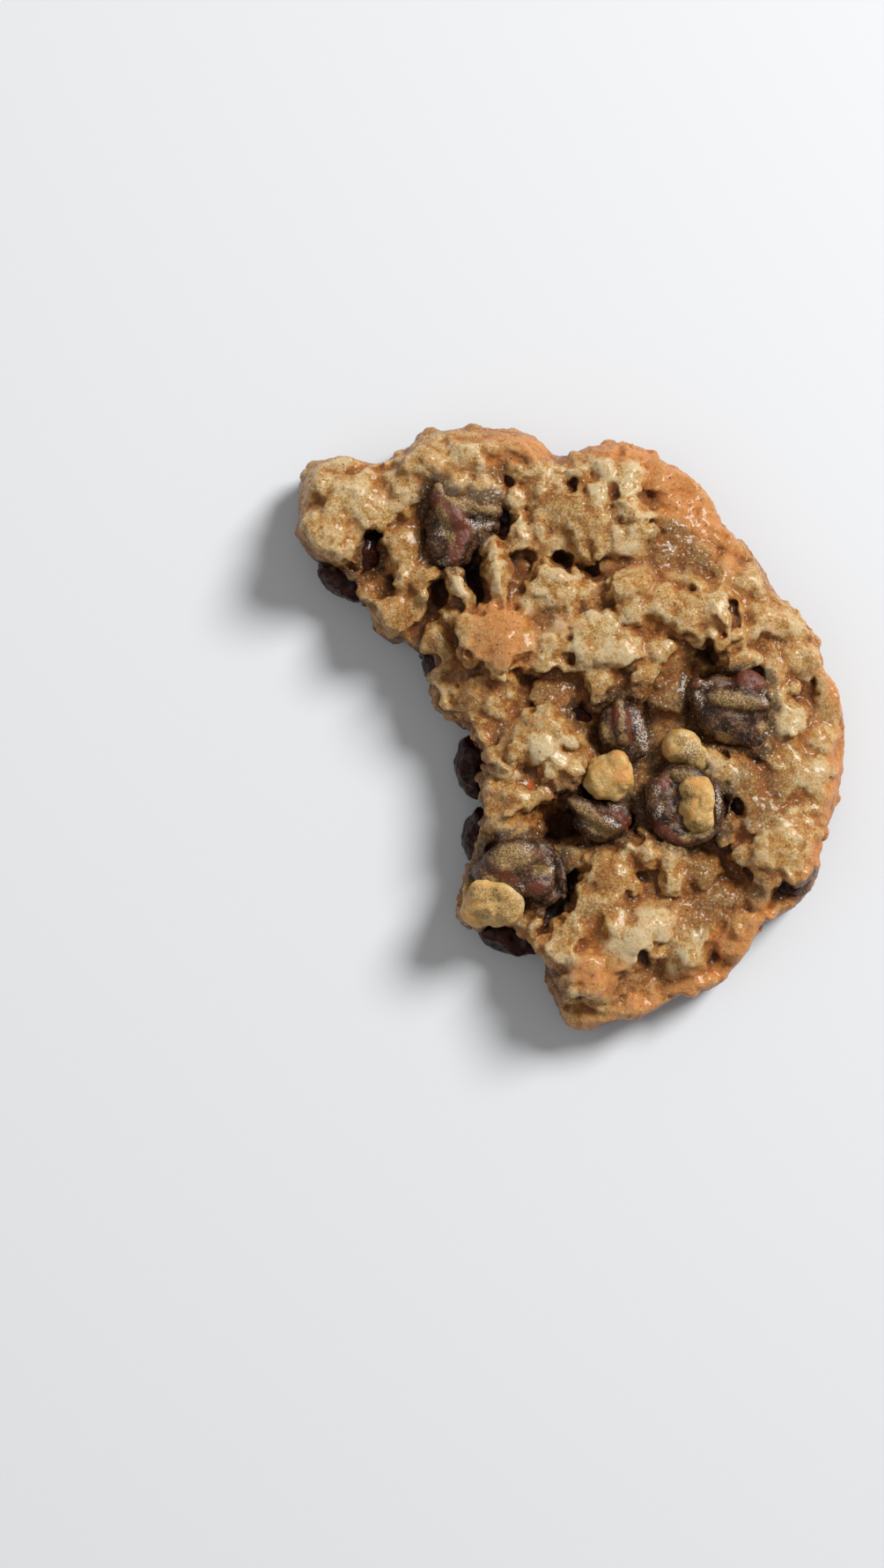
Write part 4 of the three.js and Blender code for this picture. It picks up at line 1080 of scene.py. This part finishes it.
def doughMaterial(colours, texture, steps):
    finish = Finish("bakedDough", colours["brown"], steps)
    step, times = finish.step, finish.times
    marks = ("crest", "mound", "sky", "shade", "toast", "wet", "stain", "spot")
    crest, mound, sky, shade, toast, wet, stain, spot = (finish.attribute(name) for name in marks)
    noises = {name: finish.noise(*values) for name, values in texture["noises"].items()}
    broad, patchy, grain, fine = (noises[name] for name in ("broad", "patchy", "grain", "fine"))
    pores = finish.cells(texture["pores"])
    flakes = finish.chaff(texture["bend"], texture["flakes"])
    # from brown through tan and pale to cream, a little uneven, with painted light on the crests and painted
    # shade in the creases
    uneven = shade
    for value, name in ((patchy, "patchyShade"), (crest, "crestShade"), (fine, "fineShade"),
                        (flakes, "flakeShade")):
        uneven = finish.sum(uneven, step(value, name))
    for name in ("tan", "pale", "cream"):
        finish.lay(step(uneven, name), colours[name])
    # painted shade: the low ground, below the broadly smoothed surface, turns amber in patches
    finish.lay(times(step(mound, "lowGroundShade"), step(broad, "flankPatches")), colours["amber"])
    finish.lay(step(noises["warm"], "warm"), colours["toast"])
    toasted = times(toast, step(patchy, "toastPatches"))
    finish.lay(step(toasted, "toast"), colours["toast"])
    finish.lay(step(times(toasted, step(grain, "burntGrain")), "burnt"), colours["darkToast"])
    sunk = times(step(mound, "sunk"), step(broad, "sunkPatches"))
    wetter = finish.greater(times(wet, step(patchy, "wetPatches")), sunk)
    finish.lay(step(wetter, "wet"), colours["wet"])
    stained = times(stain, step(patchy, "stainPatches"))
    finish.lay(step(stained, "stain"), colours["stain"])
    # specks, then painted highlights: glints and sparkling dots, thickest where it is wet
    finish.lay(times(step(grain, "specks"), step(wetter, "wetSpecks")), colours["speck"])
    finish.lay(times(step(fine, "glints"), step(wetter, "wetGlints")), colours["glint"])
    finish.lay(times(step(fine, "dull"), step(wetter, "wetDull")), colours["grain"])
    glintDots = times(step(finish.cells(texture["glintDots"]), "glintDots"), step(wetter, "wetGlintDots"))
    finish.lay(times(glintDots, step(grain, "glintDotGrain")), colours["sparkle"])
    finish.lay(step(pores, "pores"), colours["speck"])
    finish.lay(spot, colours["spot"])
    # painted shade: the hollows, by how little sky they see, turn to dark amber and then nearly black, most
    # near the chocolate
    finish.lay(step(sky, "shadow"), colours["shadow"], "MULTIPLY")
    finish.lay(step(sky, "deep"), colours["deep"])
    finish.lay(times(step(sky, "darkestShade"), step(stain, "shadeNearChocolate")), colours["darkestShade"])
    heights = {"flakes": flakes, "grain": grain, "fine": fine, "pores": step(pores, "poreDepth")}
    normal = finish.bumps([(heights[name], *values) for name, values in texture["bumps"].items()])
    return finish.finished(step(finish.greater(wetter, stained), "gloss"), normal, texture["body"])


# The finish of the chips, the melted chocolate and the nuts, told apart by how their nodes' names begin.
# the silver colours are for painted highlights
inclusionFinishes = {
    "chocolate_chip": {
        "name": "chipChocolate",
        "dark": srgb(40, 22, 16), "brown": srgb(86, 52, 38), "red": srgb(108, 56, 38),
        "film": srgb(176, 144, 92), "filmDark": srgb(102, 74, 42), "paintedHighlight": srgb(212, 196, 178),
        "filmShare": 0.4, "glintDotShare": 0.3, "roughness": 0.22, "bumpShare": 1.0,
        "Specular IOR Level": 0.4, "Subsurface Weight": 0.0, "swell": 0.34, "slot": "chocolate",
    },
    "melted": {
        "name": "meltedChocolate",
        "dark": srgb(32, 12, 8), "brown": srgb(60, 25, 16), "red": srgb(84, 30, 18),
        "film": srgb(64, 40, 24), "filmDark": srgb(38, 22, 12), "paintedHighlight": srgb(110, 92, 80),
        "filmShare": 0.16, "glintDotShare": 0.25, "roughness": 0.12, "bumpShare": 0.25,
        "Specular IOR Level": 0.22, "Subsurface Weight": 0.0, "swell": 0.5, "slot": "chocolate",
    },
    "nut": {
        "name": "toastedNut",
        "dark": srgb(204, 154, 82), "brown": srgb(240, 200, 130), "red": srgb(220, 158, 88),
        "film": srgb(202, 168, 104), "filmDark": srgb(142, 104, 54), "paintedHighlight": srgb(230, 214, 180),
        "filmShare": 0.35, "glintDotShare": 0.3, "roughness": 0.42, "bumpShare": 2.5,
        "Specular IOR Level": 0.4, "Subsurface Weight": 0.2, "swell": 0.4, "slot": "nut",
    },
}
inclusionTexture = {
    "patchy": (1.8, 4, 0.6), "grain": (0.5, 4, 0.7), "fine": (0.24, 3, 0.7),  # size, detail and roughness
    "glintDots": 0.55,
    "mottle": (0.7, 0.3),  # shares of the grain and of the patches
    "filmRoughness": 0.5,
    "bumps": ((0.16, 0.7), (0.07, 0.9)),  # depth and strength
    "body": {"Subsurface Radius": (1.0, 0.5, 0.2), "Subsurface Scale": 1.2 * mm},
}
inclusionSteps = {
    "brown": (0.35, 0.65), "film": (0.49, 0.58), "coat": (0.3, 0.5, 0.55, 1.0), "filmGrain": (0.42, 0.58),
    "red": (0.1, 0.9, 0, 0.9), "highlightGrain": (0.44, 0.6), "paintedHighlight": (0.1, 0.9, 0, 0.85),
    "glintDots": (0.28, 0.18), "glintDotGrain": (0.44, 0.58),
}


def inclusionMaterial(name, look, texture, steps):
    # glossy patches between a dull speckled film and pale patches and dots of painted highlight
    finish = Finish(name, look["dark"], dict(steps, glintDotGrain=(*steps["glintDotGrain"], 0, look["glintDotShare"])))
    step, times = finish.step, finish.times
    patchy, grain, fine = (finish.noise(*texture[size]) for size in ("patchy", "grain", "fine"))
    red, coat, paintedHighlight = (finish.attribute(mark) for mark in ("red", "film", "paintedHighlight"))
    grainShare, patchShare = texture["mottle"]
    mottled = finish.sum(times(grain, grainShare), times(patchy, patchShare))
    film = times(times(step(mottled, "film"), look["filmShare"]), finish.maths("SUBTRACT", 1.0, red))
    film = finish.greater(film, times(coat, step(grain, "coat")))
    finish.lay(step(patchy, "brown"), look["brown"])
    finish.lay(step(red, "red"), look["red"])
    finish.lay(film, finish.blend(step(fine, "filmGrain"), look["filmDark"], look["film"]))
    # painted highlights: pale patches and sparkling dots
    finish.lay(step(times(paintedHighlight, step(fine, "highlightGrain")), "paintedHighlight"), look["paintedHighlight"])
    finish.lay(times(step(finish.cells(texture["glintDots"]), "glintDots"), step(grain, "glintDotGrain")), look["paintedHighlight"])
    clear, dull = ((value, value, value, 1) for value in (look["roughness"], texture["filmRoughness"]))
    bumps = [(height, depth * look["bumpShare"], strength)
             for height, (depth, strength) in zip((grain, fine), texture["bumps"])]
    body = {socket: look[socket] for socket in ("Specular IOR Level", "Subsurface Weight")}
    return finish.finished(finish.blend(film, clear, dull), finish.bumps(bumps), {**body, **texture["body"]})


# Chips, melted chocolate and nuts. The lobes are x, y, half length, half width, turn and top in mm, and the
# coats, patches on them, are rows without a top.
# of the coats, the last one of each shape marks painted highlights
inclusionShapes = {
    "chocolate_chip_west": {
        "lobes": (
            (-17.0, 29.2, 6.0, 4.2, 80, 12.4), (-14.6, 30.2, 4.2, 3.2, 0, 12.0),
            (-17.6, 31.4, 3.6, 1.9, -50, 13.8), (-16.6, 26.6, 3.6, 1.8, 72, 13.2),
            (-14.0, 32.2, 4.0, 1.9, -10, 13.0),
            (-13.8, 28.0, 2.8, 2.6, 0, 11.2), (-19.2, 28.2, 4.6, 2.0, 97, 12.0),
            (-19.6, 34.4, 1.5, 1.1, 60, 13.4),
        ),
        "red": ((-18.9, 32.4, 2.2, 1.4, -50), (-16.5, 29.6, 2.8, 1.7, -58), (-16.8, 25.8, 3.0, 1.1, 72)),
        "film": ((-14.4, 32.8, 4.4, 1.5, -12), (-18.4, 29.3, 3.4, 0.8, -68), (-18.6, 34.9, 2.0, 0.9, -40)),
        "paintedHighlight": ((-13.4, 29.8, 2.3, 0.9, -5), (-18.8, 28.5, 0.6, 1.1, 0), (-18.6, 24.2, 1.0, 0.6, 0)),
    },
    "chocolate_chip_east": {
        "lobes": (
            (23.6, 2.8, 5.4, 5.0, 0, 12.8),
            (23.9, 3.8, 5.0, 1.7, -8, 13.8), (26.0, 6.0, 2.7, 2.3, -20, 13.2),
            (18.7, 4.6, 2.6, 1.5, 100, 12.6),
            (24.8, 0.4, 4.0, 3.2, -15, 12.0), (26.6, -1.6, 2.0, 1.8, 0, 11.4),
            (21.6, 6.0, 2.4, 1.4, 0, 12.4),
        ),
        "red": ((26.0, 6.8, 2.8, 1.5, -20), (18.2, 6.4, 1.0, 0.6, 30)),
        "film": ((23.6, 3.7, 4.2, 1.2, -8), (22.2, -1.5, 1.3, 0.7, -35), (27.9, -0.2, 1.0, 0.8, 60)),
        "paintedHighlight": ((28.1, 4.2, 0.7, 1.2, 0), (18.7, 4.0, 0.6, 1.2, 20), (19.6, 6.3, 1.2, 0.5, -10)),
    },
    "chocolate_chip_centre": {
        "lobes": (
            (7.7, 0.0, 4.1, 3.2, 95, 12.5),
            (7.2, 0.7, 3.4, 1.3, 93, 13.6), (9.4, -0.6, 3.8, 1.6, 103, 12.4),
            (5.7, 0.2, 2.8, 1.5, 78, 12.6),
            (8.6, -3.4, 2.0, 1.6, 0, 11.8),
        ),
        "red": ((6.1, 1.4, 2.1, 0.8, 72), (8.2, 0.2, 2.8, 0.6, 97)),
        "film": ((7.1, 1.4, 2.6, 0.45, 92), (5.2, -1.0, 1.9, 0.6, 115), (7.4, -2.0, 1.0, 0.8, 0)),
        "paintedHighlight": ((10.2, -0.9, 3.4, 0.9, 103),),
    },
    "chocolate_chip_ring": {
        "lobes": (
            (16.4, -11.6, 5.5, 5.2, 0, 12.2),
            (13.2, -10.9, 4.0, 2.2, 97, 13.2), (21.1, -11.8, 4.0, 0.9, 92, 12.8),
            (16.6, -7.2, 3.4, 1.4, -12, 12.8),
            (15.0, -15.6, 3.2, 1.5, -25, 12.4), (18.6, -15.7, 2.8, 1.2, 15, 12.4),
            (17.0, -11.4, 3.6, 3.6, 0, 12.0),
        ),
        "red": ((13.4, -8.3, 1.6, 0.8, 50), (13.4, -15.4, 2.2, 0.9, -35), (16.4, -16.6, 2.0, 0.6, 0)),
        "film": ((16.4, -7.4, 2.6, 0.9, -15), (18.4, -15.8, 2.8, 0.7, 15)),
        "paintedHighlight": ((12.6, -12.4, 1.3, 0.6, 80), (12.4, -9.4, 0.5, 0.9, 0), (21.2, -11.4, 2.2, 0.4, 92)),
    },
    "chocolate_chip_break": {
        "lobes": (
            (-7.4, -20.6, 5.4, 4.4, 0, 12.2),
            (-8.4, -19.4, 4.6, 3.0, 8, 13.0), (-5.0, -18.6, 2.8, 2.4, -20, 12.8),
            (-4.6, -22.6, 2.2, 2.8, 10, 12.0),
            (-11.6, -21.4, 2.8, 2.2, 0, 11.6), (-1.5, -21.6, 3.6, 0.6, 97, 11.6),
            (-2.6, -24.8, 1.6, 0.6, 45, 11.0),
        ),
        "red": ((-5.1, -18.5, 1.0, 0.7, -30), (-5.2, -23.6, 1.8, 1.0, 20), (-9.8, -21.8, 2.4, 0.7, -20)),
        "film": ((-8.6, -19.0, 3.4, 2.0, 10), (-4.2, -20.8, 1.8, 0.8, 0), (-12.2, -22.6, 1.6, 0.8, 30)),
        "paintedHighlight": ((-3.1, -20.4, 1.4, 0.5, 100), (-6.4, -17.6, 0.6, 0.9, 0), (-7.4, -23.4, 0.9, 0.4, -50)),
    },
    "chocolate_chip_hollow": {
        "lobes": (
            (4.4, -13.4, 4.4, 2.2, -30, 11.2),
            (2.0, -12.2, 3.2, 1.2, -33, 12.8), (5.3, -14.1, 2.6, 1.3, -26, 12.4),
            (6.9, -12.6, 2.2, 1.4, -45, 11.2),
            (3.0, -14.8, 3.0, 1.4, -30, 11.4),
        ),
        "red": ((6.8, -12.6, 2.2, 0.8, -45), (8.2, -14.4, 0.8, 1.0, 0)),
        "film": ((2.0, -12.4, 3.0, 0.8, -33), (4.0, -14.6, 3.0, 1.1, -28)),
        "paintedHighlight": ((5.8, -14.0, 1.6, 0.5, -28), (6.2, -11.6, 0.9, 0.5, -45)),
    },
    "nut_west": {
        "lobes": (
            (-11.3, -25.8, 4.3, 3.1, -8, 13.2), (-13.0, -24.6, 2.4, 1.9, 20, 13.2),
            (-9.4, -26.8, 2.4, 2.0, 40, 13.4),
            (-14.0, -27.4, 2.2, 1.6, -30, 11.8), (-10.4, -24.6, 1.8, 1.2, -10, 13.4),
        ),
        "red": ((-14.6, -25.0, 0.9, 1.2, 0), (-14.4, -28.0, 1.6, 0.6, -35)),
        "film": ((-12.0, -24.6, 3.6, 1.4, -5), (-9.4, -26.8, 2.2, 1.8, 40), (-12.8, -27.2, 1.4, 0.8, 0)),
        "paintedHighlight": ((-8.1, -24.4, 1.9, 0.6, -45), (-7.4, -26.2, 0.4, 1.2, 0)),
    },
    "nut_middle": {
        "lobes": (
            (5.3, -7.2, 3.5, 3.0, 30, 14.2), (6.5, -5.4, 1.8, 1.6, 80, 14.7),
            (7.2, -7.9, 1.8, 1.6, -30, 14.2),
            (4.2, -9.4, 1.2, 1.1, 60, 13.4),
        ),
        "red": ((6.4, -4.6, 0.8, 0.6, 0), (7.2, -7.2, 1.6, 1.4, 30)),
        "film": (),
        "paintedHighlight": (),
    },
    "nut_east": {
        "lobes": (
            (16.1, -2.8, 2.6, 2.4, 0, 13.0), (15.3, -3.4, 1.6, 1.3, 20, 13.0),
            (18.4, -4.6, 2.4, 1.7, -45, 11.8),
        ),
        "red": (),
        "film": ((18.0, -4.4, 2.8, 1.6, -45), (16.6, -4.4, 1.8, 1.3, 0), (15.6, -2.2, 1.2, 1.0, 0)),
        "paintedHighlight": ((17.4, -3.4, 1.4, 1.8, -30), (16.4, -1.4, 0.9, 0.4, -20)),
    },
    "nut_ring": {
        "lobes": (
            (18.3, -11.2, 4.1, 2.2, 84, 14.0),
            (17.7, -9.2, 2.0, 1.8, 60, 14.4), (18.9, -13.2, 2.2, 1.6, 110, 14.2),
            (19.4, -11.0, 2.0, 1.2, 90, 14.5),
            (17.0, -11.8, 1.5, 1.2, 30, 13.8),
        ),
        "red": ((17.2, -11.4, 2.2, 0.7, 75), (17.6, -8.4, 0.8, 0.6, 0)),
        "film": ((16.6, -10.6, 0.9, 2.2, -10), (18.4, -14.6, 1.8, 0.9, 0)),
        "paintedHighlight": ((20.4, -10.4, 0.3, 1.2, 0),),
    },
}
inclusionLook = {
    "voxel": 0.22 * mm,
    "smoothPasses": 6,
    "lobeDetail": 4,
    "lobeGrow": 0.15,
    "lobePower": 2.8,  # 2 is a ball, more is flatter on top with a steeper side
    "lobeDepth": (1.3, 0.6),  # half height of a lobe, and more for each mm of half width
    "core": 0.82,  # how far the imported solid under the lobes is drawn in
    "coreDown": 0.9,
    "bulges": ((2.4, 1.0), (0.9, 0.4)),  # size, and share of the finish's swell
    "lowest": 0.4,
    "coatWarps": ((1.0, 0.45), (0.4, 0.25)),  # size and reach of what makes a coat's rim waver
    "coatRim": (0.7, 1.2),
    "coatSeeds": 7,  # from one coat to the next
}


def lobeBall(row, look):
    # a blocky ball under a lobe's top
    x, y, long, wide, turn, top = row
    points, polygons = unitBall(look["lobeDetail"], 0, 0)
    power = look["lobePower"]
    plan = np.hypot(points[:, 0], points[:, 1])
    points = points / ((plan ** power + np.abs(points[:, 2]) ** power) ** (1 / power))[:, None]
    long, wide = long + look["lobeGrow"], wide + look["lobeGrow"]
    high = look["lobeDepth"][1] * wide + look["lobeDepth"][0]
    place = Matrix.Rotation(math.radians(turn), 3, "Z") @ Matrix.Diagonal((long * mm, wide * mm, high * mm))
    place = place.to_4x4()
    place.translation = Vector((x, y, top - high)) * mm + planShift
    return repeated([(points, polygons)], [(0, place)], "lobe")


def coatAt(flat, rows, seed, look):
    # 1 inside a patch whose rim wavers, 0 outside
    x, y = flat[:, 0].copy(), flat[:, 1].copy()
    for index, (size, reach) in enumerate(look["coatWarps"]):
        x += reach * noiseAt(flat, size, seed + index)
        y += reach * noiseAt(flat, size, seed + len(look["coatWarps"]) + index)
    share = np.zeros(len(flat))
    for row in rows:
        share = np.maximum(share, 1 - softStep(np.hypot(*inShape(x, y, row)), *look["coatRim"]))
    return share


def makeInclusion(node, look, swell, seed):
    piece = copyOfNode(node, node + "_shape")
    shape = inclusionShapes.get(node)
    if shape:
        points = pointsOf(piece)
        middle = (points.min(0) + points.max(0)) / 2
        setPoints(piece, middle + (points - middle) * look["core"] - np.array((0, 0, look["coreDown"] * mm)))
        joinInto(piece, [lobeBall(row, look) for row in shape["lobes"]])
    remesh(piece, look["voxel"], look["smoothPasses"])
    points, height = pointsOf(piece), 0
    for index, (size, share) in enumerate(look["bulges"]):
        height = height + share * swell * noiseAt(points, size * mm, seed + index)
    points = points + normalsOf(piece) * (height * mm)[:, None]
    points[:, 2] = np.maximum(points[:, 2], look["lowest"] * mm)
    setPoints(piece, points)
    flat = fromMiddle(points)
    # the last of these coats marks painted highlights
    for index, coat in enumerate(("red", "film", "paintedHighlight")):
        coatSeed = noiseSeeds["coats"] + look["coatSeeds"] * index
        setAttribute(piece, coat, coatAt(flat, shape[coat] if shape else (), coatSeed, look))
    shadeSmooth(piece)
    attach(piece, "root")
    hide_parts(node)
    return piece


inclusionMaterials = {
    kind: inclusionMaterial(look["name"], look, inclusionTexture, inclusionSteps)
    for kind, look in inclusionFinishes.items()
}
chocolateTrees = []
for index, node in enumerate(sorted(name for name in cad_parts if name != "baked_dough")):
    kind = next(start for start in inclusionFinishes if node.startswith(start))
    look = inclusionFinishes[kind]
    inclusion = makeInclusion(node, inclusionLook, look["swell"], noiseSeeds["inclusions"] + index)
    inclusion.data.materials.append(inclusionMaterials[kind])
    if look["slot"] == "chocolate":
        chocolateTrees.append(treeOf(inclusion))
print("stage: chips, melted chocolate and nuts")

dough = makeDough(doughLook)
markDough(dough, doughFinish, chocolateTrees)
dough.data.materials.append(doughMaterial(doughColours, doughTexture, doughSteps))
shadeSmooth(dough)
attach(dough, "root")
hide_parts("baked_dough")
print("stage: dough shaped")
